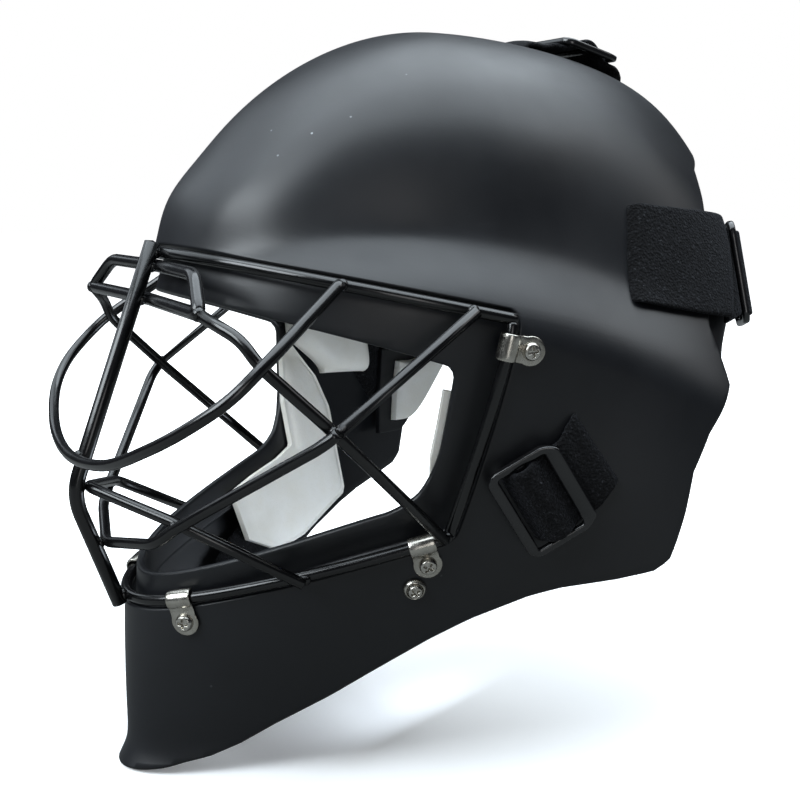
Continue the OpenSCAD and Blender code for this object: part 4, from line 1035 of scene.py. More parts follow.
def clip_way(c):
    """Way from the rod to the screw of a clip: square to the rod, in the skin."""
    t = unit(seat(*(c[0] + 2 * c[1])) - seat(*(c[0] - 2 * c[1])))
    g = unit(np.cross(normal_at(*c[0]), t))
    return g if g[1] * c[2][0] + g[2] * c[2][1] > 0 else -g


def clip_screw(c):
    """Side view place of a clip's screw."""
    return c[0] + REACH * clip_way(c)[1:]


# the chin strap's screw sits below the rear jaw clip
ANCHOR = clip_screw(CLIPS[1]) + unit(np.array([-0.3, -0.95])) * ((TAB_D + CUP_D) / 2 + 0.9)


def clip_frame(c):
    """Origin on the skin at the screw, axes towards the rod, along the rod and out, and the rod's
    middle along the first and the last."""
    at = clip_screw(c)
    p, n = seat(*at), normal_at(*at)
    e = -clip_way(c)
    e = unit(e - n * (e @ n))
    r = seat(*c[0], RAIL - c[3] * (1 - float(ease(0, 60, c[0][0])))) - p
    return p, e, np.cross(n, e), n, r @ e, r @ n


def skin_frame(y, z):
    """Origin on the skin; axes to the back, up and out."""
    v = float(v_at(z))
    u = float(u_at(y, v))
    n = facing(u, v)
    e = skin0(u + 1e-3, v) - skin0(u - 1e-3, v)
    e = unit(e - n * (e @ n))
    return skin(u, v), e, np.cross(n, e), n


def put(local, frame_):
    """Points given along a frame's three axes, in the drawing frame."""
    p, e, f, n = frame_[:4]
    a = np.asarray(local, float)
    return p + a[..., :1] * e + a[..., 1:2] * f + a[..., 2:3] * n


print("screws at", [np.round(clip_screw(c), 1).tolist() for c in CLIPS], np.round(ANCHOR, 1))


# %% Pressed clip
def squared_ring(n, power):
    """n points round a square with soft corners: cosine and sine, their size to a power."""
    g = 2 * np.pi * np.arange(n) / n
    return [np.sign(w) * np.abs(w)**power for w in (np.cos(g), np.sin(g))]


def clip_mesh(c):
    """Strip along a side line: flat from the tab to the rod, then an arc round the rod. Its half
    width is a circle at the tab and constant after it."""
    fr = clip_frame(c)
    reach, height = fr[4], fr[5]
    rho, low = ROD / 2 + 0.4 + CLIP_T / 2, GAP + CLIP_T / 2
    a0 = math.degrees(math.pi - math.asin(min(0.9, (low - height) / rho)))
    flat_end = reach + rho * math.cos(math.radians(a0)) - 1.6
    path = [(-TAB_D / 2 + 0.05, low)]
    path += [(x, low) for x in np.linspace(-TAB_D / 2 + 0.4, flat_end, 14)]
    path += [(reach + rho * math.cos(a), height + rho * math.sin(a))
             for a in np.radians(a0 - 10 - np.linspace(0, a0 - 10 + 40, 30))]
    path = resampled(np.array(path), 0.45)
    t = tangents(path)
    nn = np.stack([-t[:, 1], t[:, 0]], -1)
    x = path[:, 0]
    tab = np.clip(TAB_D**2 / 4 - x**2, 0.01, None)**0.5
    half = np.where(x < 0, tab, np.where(x < TAB_D / 2, np.maximum(tab, CLIP_W / 2), CLIP_W / 2))
    half[-3:] *= [0.97, 0.93, 0.86]
    sx, sy = squared_ring(24, 0.45)
    loc = np.zeros((len(path), len(sx), 3))
    loc[..., 0] = path[:, :1] + nn[:, :1] * sy * CLIP_T / 2
    loc[..., 2] = path[:, 1:] + nn[:, 1:] * sy * CLIP_T / 2
    loc[..., 1] = half[:, None] * sx
    return put(loc, fr).reshape(-1, 3), capped(len(path), len(sx))


clips = [clip_mesh(c) for c in CLIPS]
print("clips of", [len(c[0]) for c in clips], "points")

# %% Screws and washers
CHIN_T, NUT_H, PAST_NUT = 1.8, 2.6, 0.6
NUT_TOP, STRAP_NUT_TOP = WALL + 3.5 * GAP, WALL + CHIN_T + 4.5 * GAP
CROSS_ARM, CROSS_HALF, CROSS_DEEP = 0.29, 0.55, 0.62  # of head width, mm, of head height


def turned(profile, n=48):
    """Surface of revolution about the local Z axis; profile runs from the axis to the axis."""
    pr = np.array(profile, float)
    g = 2 * np.pi * np.arange(n) / n
    r = np.maximum(pr[:, :1], 0.004)
    loc = np.stack([r * np.cos(g), r * np.sin(g), pr[:, 1:] * np.ones(n)], -1)
    return loc.reshape(-1, 3), quads(len(pr), n, round_m=True)


def pan_head(z, head, turn):
    """Pan head with a cross recess: a polar height field that dips where the recess is."""
    n = 96
    g = 2 * np.pi * np.arange(n) / n
    r = np.concatenate([np.linspace(0.01, 0.62, 26), np.linspace(0.65, 1, 16)]) * head / 2
    R, G = np.meshgrid(r, g, indexing="ij")
    k = R / (head / 2)
    dome = z + HEAD_H * (1 - 0.16 * k**2 - 0.62 * np.clip((k - 0.72) / 0.28, 0, 1)**2.2)
    x, y = R * np.cos(G - turn), R * np.sin(G - turn)
    arm = np.minimum(np.maximum(np.abs(x) - CROSS_ARM * head, np.abs(y) - CROSS_HALF),
                     np.maximum(np.abs(y) - CROSS_ARM * head, np.abs(x) - CROSS_HALF))
    dome = dome - CROSS_DEEP * HEAD_H * ease(0.12, -0.28, arm) * (1 - 0.35 * k)
    loc = np.stack([R * np.cos(G), R * np.sin(G), dome], -1)
    skirt = np.stack([r[-1] * np.cos(g), r[-1] * np.sin(g), np.full(n, z)], -1)
    loc = np.concatenate([loc, skirt[None]])
    return loc.reshape(-1, 3), quads(len(r) + 1, n, round_m=True)


def screw_parts(fr, z, head, deep, turn):
    """Head and shank of a screw in a frame on the skin, and the same on the other side."""
    loc, faces = pan_head(z, head, turn)
    shank = turned([(0, z + 0.2), (SCREW / 2, z + 0.2), (SCREW / 2, -deep + 0.4),
                    (SCREW / 2 - 0.4, -deep), (0, -deep)], 24)
    both = (put(loc, fr), faces), (put(shank[0], fr), [q[::-1] for q in shank[1]])
    return [q for part in both for q in (part, mirror(part))]


CUP_R, CUP_SEAT, BORE = CUP_D / 2, CUP_D * 0.34, SCREW / 2 + 0.2
anchor_frame = skin_frame(*ANCHOR)
cup, cup_faces = turned([
    (BORE, GAP), (CUP_R - 0.1, GAP), (CUP_R, GAP + 0.25), (CUP_R - 0.25, GAP + 0.9),
    (CUP_R - 0.7, GAP + 1.55), (CUP_R - 1.0, GAP + WASHER_H), (CUP_SEAT + 0.35, GAP + WASHER_H),
    (CUP_SEAT + 0.15, GAP + WASHER_H - 0.2), (CUP_SEAT + 0.15, GAP + 1.1), (BORE, GAP + 1.1),
    (BORE, GAP)])
washer = put(cup, anchor_frame), cup_faces
screws = []
for k, c in enumerate(CLIPS):
    screws += screw_parts(clip_frame(c), GAP + CLIP_T, HEAD_D, NUT_TOP + NUT_H + PAST_NUT,
                          0.35 + 0.5 * k)
strap_screws = screw_parts(anchor_frame, GAP + 0.6 * WASHER_H, CUP_D * 0.68,
                           STRAP_NUT_TOP + NUT_H + PAST_NUT, 0.6)
for name, parts, mat, slot, node_ in (
        ("cage_clips_pressed", [q for c in clips for q in (c, mirror(c))], nickel_mat,
         "clip_steel", "cage_clips"),
        ("clip_screws_pan", screws, screw_mat, "screw_steel", "clip_screws"),
        ("strap_screws_pan", strap_screws, screw_mat, "screw_steel", "strap_screws"),
        ("cup_washers_turned", [washer, mirror(washer)], nickel_mat, "clip_steel",
         "cup_washers")):
    add_mesh(name, join(parts), "shell_assembly", mat, slot, node_)
    print(name, len(parts), "parts")

# %% [markdown]
# ## Straps
# The straps are elastic loop webbing, 2.2 mm thick, that comes out of slots in the shell. The
# upper ones and the top one end on the back plate, the lower ones go back in through a second slot.
# Cloth simulation would be wasted on them, because they are held at both ends and pulled tight.
# Each one is drawn as a line of height over distance along the skin, and a section with round
# edges follows that line. Webbing gives a little, so its edges waver.

# %% Sizes of webbing and buckles, and heights over the skin
STRAP_T, WEB_WIDE, WEB = 2.2, 36.0, 32.0
BUCKLE_L, BUCKLE_T, BAR_END, BAR_MID = 28.0, 3.0, 4.5, 4.0
IN_H = WALL + 4.5 * GAP + STRAP_T / 2  # depth of webbing that lies inside the shell
OUT_H = 2 * GAP + STRAP_T / 2  # height of webbing that lies on the shell
BUCKLE_LOW = STRAP_T + 3 * GAP
OVER = BUCKLE_LOW + BUCKLE_T + GAP + STRAP_T / 2 + 0.4  # height over a buckle's middle bar
PLATE_H = WALL + STRAP_T + 6 * GAP
ON_PLATE = -PLATE_H + 2.5 * GAP + STRAP_T / 2
UPPER_BUCKLE_S, LOWER_BUCKLE_S, TOP_BUCKLE_S = 84.0, 0.0, 41.0
print("webbing stands %.1f mm over the skin on a buckle" % OVER)

# %% Maps from distance along a strap, place across it and height, to points
UPPER_SLOT_Y, UPPER_SLOT_Z, UPPER_FALL = 162.0, 2.0, 0.17
LOWER_AT, LOWER_TURN, LOWER_SKEW = (114.5, -89), math.radians(33.5), 0.35
TOP_FROM_V = 0.45


def run_table(f, a, b, n):
    """Distance run along the curve f from a to b, at n even steps of its parameter."""
    t = np.concatenate([[a], a + (b - a) * np.arange(1, n + 1) / n])
    q = f(t)
    return np.concatenate([[0], np.cumsum(np.linalg.norm(np.diff(q, axis=0), axis=1))]), t


up_slot_u = float(u_at(UPPER_SLOT_Y, v_at(UPPER_SLOT_Z)))
up_s, up_u = run_table(lambda u: skin0(u, v_at(-2.0)), up_slot_u - 0.2, 2.0, 36)
up_s0 = np.interp(up_slot_u, up_u, up_s)
top_s, top_v = run_table(lambda v: skin0(2.0, v), TOP_FROM_V, 4.0, 50)


def upper_map(s, c, h):
    """Round the rear edge of the shell at a steady fall; across is square to that fall."""
    z = UPPER_SLOT_Z - UPPER_FALL * s + c
    return skin(np.interp(s + up_s0 + UPPER_FALL * c, up_s, up_u), v_at(z), h)


def lower_map(s, c, h):
    """A slant over the flank that leans over a little behind the buckle."""
    d = c + LOWER_SKEW * np.maximum(0, s - BUCKLE_L / 2)
    ca, sa = math.cos(LOWER_TURN), math.sin(LOWER_TURN)
    return seat(LOWER_AT[0] + s * ca - d * sa, LOWER_AT[1] + s * sa + d * ca, h)


def u_of_width(x, v):
    """u on the rear half where the surface is x from the middle."""
    return halved(lambda m: skin0(m, v)[..., 0] > x, np.ones(np.shape(x)),
                  np.full(np.shape(x), 2.0), 14)


def top_map(s, c, h):
    """Down the middle of the rear; points across lie in the plane square to the middle line."""
    s, c, h = np.broadcast_arrays(s, c, h)
    v_mid_ = np.interp(s, top_s, top_v)
    p = skin0(2.0, v_mid_)
    way = unit(skin0(2.0, v_mid_ + 0.05) - skin0(2.0, v_mid_ - 0.05))
    x = np.abs(c)
    v = halved(lambda m: np.sum((skin0(u_of_width(x, m), m) - p) * way, -1) < 0,
               np.maximum(0.4, v_mid_ - 0.3), np.minimum(4, v_mid_ + 1), 12)
    q = skin(u_of_width(x, v), v, h)
    return np.where((c > 0)[..., None], other(q), q)


def map_point(f, s, c, h=0.0):
    """One point of a strap map."""
    return f(*(np.array(float(k)) for k in (s, c, h)))


def laid(f, s0):
    """Webbing lies flat where it runs through a buckle, on the highest points of the skin, and
    the flat goes over into the skin within 7 mm."""
    r, q = BUCKLE_L / 2, 15.0
    e = unit(map_point(f, s0 + r, 0) - map_point(f, s0 - r, 0))
    n = unit(np.cross(e, map_point(f, s0, q) - map_point(f, s0, -q)))
    side, m = np.cross(n, e), map_point(f, s0, 0)
    o = m + n * max(n @ (map_point(f, s0 + i, j) - m) for i in (-r, 0, r) for j in (-q, 0, q))

    def flat_map(s, c, h):
        """The strap map, flat near the buckle."""
        s, c, h = np.broadcast_arrays(s, c, h)
        w = (1 - ease(r + 1, r + 8, np.abs(s - s0)))[..., None]
        flat = o + e * (s - s0)[..., None] + side * c[..., None] + n * h[..., None]
        return w * flat + (1 - w) * f(s, c, h)
    return flat_map


upper_laid, lower_laid = laid(upper_map, UPPER_BUCKLE_S), laid(lower_map, LOWER_BUCKLE_S)
top_laid = laid(top_map, TOP_BUCKLE_S)
print("upper strap starts at", np.round(map_point(upper_laid, 0, 0), 1))


# %% Courses of the straps, as (distance, height)
def glide(s, low=OUT_H):
    """Course through a buckle: under its end bars and over its middle bar."""
    high, a, b = OVER - OUT_H + low, BUCKLE_L / 2 - BAR_END - 0.7, BAR_MID / 2 + 0.6
    return [[s - a, low], [s - b, high], [s + b, high], [s + a, low]]


def slot_in(s, way=1):
    """Course through a slot, from inside the shell to its mouth."""
    return [[s - 1.8 * way, -IN_H], [s, -IN_H + 1.8]]


LOWER_SLOT, LOWER_RETURN, TOP_SLOT, TOP_RETURN, MOUTH = -7.6, 26, 10, 61, -0.4
upper_course = [[-16, -IN_H]] + slot_in(0) + [[0, MOUTH], [1.9, OUT_H + GAP]] + [
    [q, OUT_H] for q in range(12, 53, 8)] + [[57, -1.5], [64, ON_PLATE]] + glide(
    UPPER_BUCKLE_S, ON_PLATE) + [[100, ON_PLATE], [112, ON_PLATE]]
lower_course = [[-16, -IN_H]] + slot_in(LOWER_SLOT) + [
    [LOWER_SLOT, 0], [-BAR_MID / 2 - 0.6, OVER], [BAR_MID / 2 + 0.4, OVER],
    [BUCKLE_L / 2 - BAR_END - 1.2, OUT_H], [BUCKLE_L / 2 + 2, OUT_H + GAP],
    [20, OUT_H + GAP], [LOWER_RETURN - 1.9, OUT_H], [LOWER_RETURN, MOUTH]] + slot_in(
    LOWER_RETURN, -1)[::-1] + [[LOWER_RETURN + 12, -IN_H], [LOWER_RETURN + 22, -IN_H]]
top_course = [[0.5, -IN_H]] + slot_in(TOP_SLOT) + [
    [TOP_SLOT, MOUTH], [TOP_SLOT + 1.9, OUT_H], [19, OUT_H]] + glide(TOP_BUCKLE_S) + [
    [TOP_RETURN - 1.9, OUT_H], [TOP_RETURN, MOUTH]] + slot_in(TOP_RETURN, -1)[::-1] + [
    [q, -IN_H] for q in range(72, 121, 12)] + [[131, ON_PLATE], [146, ON_PLATE]]
print("courses of", len(upper_course), len(lower_course), len(top_course), "points")


# %% Bands of webbing
def rounded_path(points, rounds=3):
    """Corner cutting: each corner is replaced by the quarter points of its two sides."""
    p = np.array(points, float)
    for _ in range(rounds):
        a, b = p[:-1], p[1:]
        q = np.stack([0.75 * a + 0.25 * b, 0.25 * a + 0.75 * b], 1).reshape(-1, 2)
        p = np.concatenate([p[:1], q[1:-1], p[-1:]])
    return p


def band_section(w, t, n):
    """Section of a band with half round edges: places across and heights, once round it."""
    r = t / 2
    c = np.linspace(-w / 2 + r, w / 2 - r, n)
    g = np.radians([60, 30, 0, -30, -60])
    across = [c, w / 2 - r + r * np.cos(g), c[::-1], -w / 2 + r - r * np.cos(g[::-1])]
    heights = [np.full(n, r), r * np.sin(g), np.full(n, -r), r * np.sin(g[::-1])]
    return np.concatenate(across), np.concatenate(heights)


def strap_mesh(f, course, w):
    """Band whose section runs round the sheet and whose length follows the course; its width
    wavers by a product of two sines."""
    p = resampled(rounded_path(course), 1.3)
    d = tangents(p)
    nn = np.stack([-d[:, 1], d[:, 0]], -1)
    cx, dy = band_section(w, STRAP_T, 22)
    s, h = p[:, :1] + nn[:, :1] * dy, p[:, 1:] + nn[:, 1:] * dy
    waver = 0.25 * np.sin(p[:, :1] / 3.1) * np.sin(p[:, :1] / 7.7 + 1)
    q = f(s, cx[None] * (1 + waver / w) + 0 * s, h)
    return q.reshape(-1, 3), capped(len(p), len(cx))


upper = strap_mesh(upper_laid, upper_course, WEB_WIDE)
lower = strap_mesh(lower_laid, lower_course, WEB)
top = strap_mesh(top_laid, top_course, WEB)
straps = {}
for name, part in (("upper_strap_left", upper), ("upper_strap_right", mirror(upper)),
                   ("lower_strap_left", lower), ("lower_strap_right", mirror(lower)),
                   ("top_strap", top)):
    body = "shell_assembly" if "lower" in name else None
    straps[name] = add_mesh(name + "_webbing", part, body, web_mat, "webbing", name)
print("straps:", {k: len(v.data.vertices) for k, v in straps.items()})

# %% [markdown]
# ## Tri-glide buckles
# A buckle is a moulded nylon frame with a middle bar. A cube with Bevel and Boolean modifiers would
# do, but its ends would be as sharp as its sides. Here a soft square section runs once round the
# frame, wider at the two ends, and a flatter ribbed bar joins the long sides.

# %% Buckles
FRAME_CORNER, BUCKLE_SIDES, BAR_STEPS = 3.2, 20, 24
END_LIP, LIP_RISE = 1.4, 0.9
SIDE_HALF, END_MORE, BAR_H, BAR_HALF_T = 1.5, 0.75, 1.4, 1.25


def strap_frame(f, s, h):
    """Origin on a strap map; axes along the strap, across and out."""
    e = unit(map_point(f, s + 2, 0, h) - map_point(f, s - 2, 0, h))
    n = unit(np.cross(e, map_point(f, s, 2, h) - map_point(f, s, -2, h)))
    return map_point(f, s, 0, h), e, np.cross(n, e), n


def buckle_mesh(w, fr):
    """Frame: the section goes round a rounded rectangle, and its half width grows with the fourth
    power of how much it faces along the strap. Bar: the section with a slight wave."""
    ax, by, rc = (BUCKLE_L - BAR_END) / 2, (w + 4) / 2, FRAME_CORNER
    g = np.radians(np.linspace(0, 90, 10))
    corner = np.stack([ax - rc + rc * np.cos(g), by - rc + rc * np.sin(g)], -1)
    quarter = np.concatenate([np.stack([np.full(9, ax), np.linspace(0, by - rc, 10)[:-1]], -1),
                              corner, np.stack([np.linspace(ax - rc, 0, 6)[1:-1],
                                                np.full(4, by)], -1), [[0, by]]])
    half = np.concatenate([quarter, quarter[-2::-1] * [-1, 1]])
    loop = np.concatenate([half, half[-2:0:-1] * [1, -1]])
    t = tangents(loop, True)
    out = np.stack([t[:, 1], -t[:, 0]], -1)
    wide = SIDE_HALF + END_MORE * np.abs(out[:, 0])**4
    sx, sy = squared_ring(BUCKLE_SIDES, 0.6)
    loc = np.zeros((len(loop), BUCKLE_SIDES, 3))
    loc[..., :2] = loop[:, None] + out[:, None] * (wide[:, None] * sx)[..., None]
    loc[..., 2] = BUCKLE_T / 2 + sy * BUCKLE_T / 2
    # the end that the webbing is pulled by is a wider lip that slopes up
    lip = np.clip(out[:, 0], 0, 1)[:, None]**4
    loc[..., 0] += END_LIP * lip * np.clip(sx, 0, 1)
    loc[..., 2] += LIP_RISE * lip * sx
    ring = put(loc, fr), quads(len(loop), BUCKLE_SIDES, True, True, flip=True)
    ribs = 1 + 0.05 * np.cos(np.arange(BAR_STEPS) * np.pi)
    bar = np.zeros((BAR_STEPS, BUCKLE_SIDES, 3))
    bar[..., 0] = BAR_MID / 2 * sx * ribs[:, None]
    bar[..., 1] = np.linspace(-by, by, BAR_STEPS)[:, None]
    bar[..., 2] = BAR_H + sy * BAR_HALF_T * ribs[:, None]
    return join([ring, (put(bar, fr), quads(BAR_STEPS, BUCKLE_SIDES, False, True, flip=True))])


upper_buckle = buckle_mesh(WEB_WIDE, strap_frame(upper_laid, UPPER_BUCKLE_S,
                                                 BUCKLE_LOW - OUT_H + ON_PLATE))
lower_buckle = buckle_mesh(WEB, strap_frame(lower_laid, LOWER_BUCKLE_S, BUCKLE_LOW))
top_buckle = buckle_mesh(WEB, strap_frame(top_laid, TOP_BUCKLE_S, BUCKLE_LOW))
for name, part, body in (("upper_buckle_left", upper_buckle, "back_plate_assembly"),
                         ("upper_buckle_right", mirror(upper_buckle), "back_plate_assembly"),
                         ("lower_buckle_left", lower_buckle, "left_slider"),
                         ("lower_buckle_right", mirror(lower_buckle), "right_slider"),
                         ("top_buckle", top_buckle, "top_slider")):
    add_mesh(name + "_glide", part, body, nylon_mat, "buckle_plastic", name)
print("buckle:", len(top_buckle[0]), "points")

# %% [markdown]
# ## Foam liner and back plate
# The pads are die cut from closed-cell foam and glued in; their free edges are soft, and their
# faces dent slightly where a head has pressed them. They are too stiff to drape, so they are
# modelled and not simulated: an outer face on the skin, an inner face that bulges away from it, and
# a Bevel modifier for the cut edge. The back plate is one bent sheet of plastic with its own pad.

# %% Cushions
FOAM_H, PAD_T, BACK_PAD_T, FOAM_FILL = WALL + GAP, 14.0, 10.0, 0.85
EDGE_SEGMENTS, EDGE_ANGLE = 3, 38


def crown_at(a, b, edge=0.35):
    """Thickness of a cushion over its face, as a share: the square root of two falling sixth
    powers, with edge left at the rim."""
    return edge + (1 - edge) * np.sqrt(np.clip((1 - np.abs(2 * a - 1)**6)
                                               * (1 - np.abs(2 * b - 1)**6), 0, None))


def dents(p):
    """Soft unevenness of a foam face in millimetres, always into the foam, from slow sines."""
    x, y, z = p[..., 0], p[..., 1], p[..., 2]
    w = np.sin(x / 9 + 1.3 * np.sin(z / 13)) * np.sin(y / 11 + z / 17) + 0.5 * np.sin(z / 5 + y / 7)
    return 0.5 * (0.5 + 0.33 * w)


def sheet_mesh(lower, upper):
    """Closed sheet between two grids of points."""
    n, m = lower.shape[:2]
    s = n * m
    idx = np.arange(s).reshape(n, m)
    loop = np.concatenate([idx[0, :-1], idx[:-1, -1], idx[-1, :0:-1], idx[:0:-1, 0]])
    nxt = np.roll(loop, -1)
    rim = np.stack([loop, nxt, nxt + s, loop + s], -1).tolist()
    return np.concatenate([lower.reshape(-1, 3), upper.reshape(-1, 3)]), quads(
        n, m, flip=True) + quads(n, m, start=s) + rim


def soft_edge(ob, width):
    """Rounds the cut edges of a sheet."""
    b = ob.modifiers.new("edge", "BEVEL")
    b.width = width / 1000
    b.segments = EDGE_SEGMENTS
    b.limit_method = "ANGLE"
    b.angle_limit = math.radians(EDGE_ANGLE)


def add_pad(node_, part, body="shell_assembly", edge=1.6):
    """One pad of the liner."""
    ob = add_mesh(node_ + "_foam", part, body, foam_mat, "foam", node_)
    soft_edge(ob, edge)


def cushion(u, v, n, top):
    """Pad between two u and two v, top below the skin."""
    a, b = np.meshgrid(*(np.linspace(0, 1, k) for k in n), indexing="ij")
    U, V = u[0] + (u[1] - u[0]) * a, v[0] + (v[1] - v[0]) * b
    out = skin(U, V, -top - 0 * U)
    depth = top + PAD_T * crown_at(a, b) - dents(out) * crown_at(a, b, 0)
    return sheet_mesh(skin(U, V, -depth), out)


print("foam from %.1f to %.1f mm under the skin" % (FOAM_H, FOAM_H + PAD_T))

# %% Brow, crown and temple pads
TEMPLE_Z, TEMPLE_DROP, TEMPLE_Y, TEMPLE_CUT = -14, 54, (84, 126), 18


def temple_pad(ni=26, nj=40):
    """Lobe beside the eye opening; its low front corner is cut back."""
    a, b = np.meshgrid(np.linspace(0, 1, ni), np.linspace(0, 1, nj), indexing="ij")
    z = TEMPLE_Z - TEMPLE_DROP * b
    front = TEMPLE_Y[0] + TEMPLE_CUT * ease(46, 68, -z)
    y = front + (TEMPLE_Y[1] - front) * a
    high = np.maximum(FOAM_H + 5 * GAP + flange_depth(y), FOAM_H + NUT_H + 4 * GAP)
    out = seat(y, z, -high)
    depth = high + PAD_T * crown_at(a, b) - dents(out) * crown_at(a, b, 0)
    return sheet_mesh(seat(y, z, -depth), out)


crown, temple = cushion((0.1, 1.2), (0.45, 1.75), (60, 40), FOAM_H), temple_pad()
add_pad("brow_pad", cushion((-0.62, 0.62), (2.05, 2.8), (90, 26), FOAM_H + GAP))
add_pad("crown_pad", join([crown, mirror(crown)]))
add_pad("temple_pad_left", temple)
add_pad("temple_pad_right", mirror(temple))
print("temple pad:", len(temple[0]), "points")

# %% Jaw pads, from rows of places across the rear and lower bars of the frame
mitre = unit(REAR_OUT + JAW_OUT)
mitre = mitre / (mitre @ JAW_OUT)
STEP_E = ROD / 2 + GAP + RISER + 1
# each row: place on the frame, way out, first and last distance from the frame
JAW_LINES = [(FRAME_TOP + REAR_DIR * 33, REAR_OUT, -14.4, -8),
             (FRAME_TOP + REAR_DIR * 46, REAR_OUT, -13, 7),
             (FRAME_TOP + REAR_DIR * 60, REAR_OUT, -11.7, 16), (FRAME_LOW, mitre, -6, 28),
             (FRAME_LOW + JAW_DIR * 14, JAW_OUT, -4, 34),
             (FRAME_LOW + JAW_DIR * 30, JAW_OUT, -4, 33),
             (FRAME_LOW + JAW_DIR * 44, JAW_OUT, -3, 20)]
UPRIGHT_ROWS = 3


def jaw_table():
    """Side view place and depth of the outer face on a 7 by 7 table."""
    table = []
    for i, (p, way, e0, e1) in enumerate(JAW_LINES):
        es = [e0, (e0 + STEP_E) / 2, STEP_E, STEP_E + 1, STEP_E + (e1 - STEP_E) * 0.4,
              STEP_E + (e1 - STEP_E) * 0.75, e1]
        if i < UPRIGHT_ROWS:
            es = np.linspace(e0, e1, 7)
        row = [p + way * e for e in es]
        tops = [FOAM_H + 2 * GAP + float(flange_depth(row[j][0]))
                if i < UPRIGHT_ROWS or j < 3 else STRAP_NUT_TOP + NUT_H + 6 * GAP
                for j in range(7)]
        table.append([[*q, h] for q, h in zip(row, tops)])
    return np.array(table)


def jaw_pad(ni=56, nj=44):
    """The table drawn out to a fine grid by straight lines, first down, then across."""
    full = jaw_table()
    fi, fj = np.linspace(0, 6, ni), np.linspace(0, 6, nj)
    g = np.stack([np.stack([np.interp(fi, range(7), full[:, j, k]) for k in range(3)], -1)
                  for j in range(7)], 1)
    g = np.stack([np.stack([np.interp(fj, range(7), g[i, :, k]) for k in range(3)], -1)
                  for i in range(ni)], 0)
    a, b = np.meshgrid(fi / 6, fj / 6, indexing="ij")
    out = seat(g[..., 0], g[..., 1], -g[..., 2])
    depth = np.maximum(FOAM_H + PAD_T * crown_at(a, b), g[..., 2] + 3)
    depth = depth - dents(out) * crown_at(a, b, 0)
    pts, faces = sheet_mesh(seat(g[..., 0], g[..., 1], -depth), out)
    return pts, [q[::-1] for q in faces]


jaw = jaw_pad()
add_pad("jaw_pad_left", jaw)
add_pad("jaw_pad_right", mirror(jaw))
print("jaw pad:", len(jaw[0]), "points")

# %% Back plate and its pad
PLATE_T, PLATE_EDGE, BACK_PAD_EDGE = 2.6, 0.9, 1.4
PAD_INSET = (1 / 15, 1 / 7)  # margin of the pad on the plate, as shares of its half width, height
PLATE_U = 0.83
MID_TOP_Z, WING_TOP_Z, MID_LOW_Z, WING_LOW_Z = 36, -58, -48, -102


def back_sheet(h0, h1, inset=(0.0, 0.0), pad=False):
    """Sheet between two depths. w runs from -1 to 1 across the plate and j from its low edge to
    its top edge; the edges are straight in the middle and come together in the wings."""
    w, j = np.meshgrid(np.linspace(-1 + inset[0], 1 - inset[0], 180),
                       np.linspace(inset[1], 1 - inset[1], 46), indexing="ij")
    u = np.where(w >= 0, 2 - PLATE_U * w, -2 - PLATE_U * w)
    high = WING_TOP_Z + (MID_TOP_Z - WING_TOP_Z) * (1 - ease(0.3, 0.85, np.abs(w)))
    low = MID_LOW_Z + (WING_LOW_Z - MID_LOW_Z) * ease(0.55, 0.88, np.abs(w))
    v = v_at(low + (high - low) * j)
    depth = h1 + 0 * u
    if pad:
        a, b = (w + 1 - inset[0]) / (2 - 2 * inset[0]), (j - inset[1]) / (1 - 2 * inset[1])
        depth = h0 + (h1 - h0) * crown_at(a, b)
        depth = depth - dents(skin(u, v, -depth)) * crown_at(a, b, 0)
    return sheet_mesh(skin(u, v, -depth), skin(u, v, -h0 + 0 * u))


plate = add_mesh("back_plate_sheet", back_sheet(PLATE_H, PLATE_H + PLATE_T),
                 "back_plate_assembly", plate_mat, "plate_plastic", "back_plate")
soft_edge(plate, PLATE_EDGE)
pad_h = PLATE_H + PLATE_T + GAP
add_pad("back_pad", back_sheet(pad_h, pad_h + BACK_PAD_T, PAD_INSET, True),
        "back_plate_assembly", BACK_PAD_EDGE)
print("back plate:", len(plate.data.vertices), "points")

# %% [markdown]
# ## Chin strap and cup
# Two webbing halves hang from the lower screws inside the shell and hold a moulded cup. The
# photograph doesn't show them, so they follow the usual kit: thin webbing that runs free from the
# screw to the side of the cup and wraps under it, and a shallow oval cup with a rolled rim.

# %% Chin strap
CHIN_W = 19.0
CUP_MID, CUP_SIZE, CUP_WALL = np.array([0, 38.0, -158]), np.array([34.0, 25, 20]), 2.5


def chin_half():
    """Band from the screw along a cubic arc to the cup's side, then round the cup; its width turns
    from square to the screw to the cup's long way."""
    p0 = seat(ANCHOR[0], ANCHOR[1], -WALL - 2.5 * GAP - CHIN_T / 2)
    n = normal_at(*ANCHOR)
    reach = CUP_SIZE[0] + CHIN_T / 2 + GAP
    d = CUP_MID + [reach, 0, 0]
    down = d - p0
    down = unit(down - n * (down @ n))
    t = np.linspace(0.04, 1, 30)[:, None]
    free = arc(p0, p0 + down * 20 - n * 3.5, d + [3, 3, 20], d, t)
    g = np.radians(np.linspace(3, 42, 14))[:, None]
    wrap = (CUP_MID + reach * np.cos(g) * [1, 0, 0]
            - (CUP_SIZE[2] + CHIN_T / 2 + GAP) * np.sin(g) * [0, 0, 1])
    path = resampled(np.concatenate([[p0 - down * 5], [p0], free, wrap]), 1.6)
    tt = tangents(path)
    k = np.linspace(0, 1, len(path))[:, None]
    across = (1 - k) * np.cross(n, down) + k * np.array([0, 1.0, 0])
    across = unit(across - tt * np.sum(across * tt, -1, keepdims=True))
    out = np.cross(tt, across)
    cx, dy = band_section(CHIN_W, CHIN_T, 14)
    q = path[:, None] + across[:, None] * cx[None, :, None] + out[:, None] * dy[None, :, None]
    return q.reshape(-1, 3), capped(len(path), len(cx))


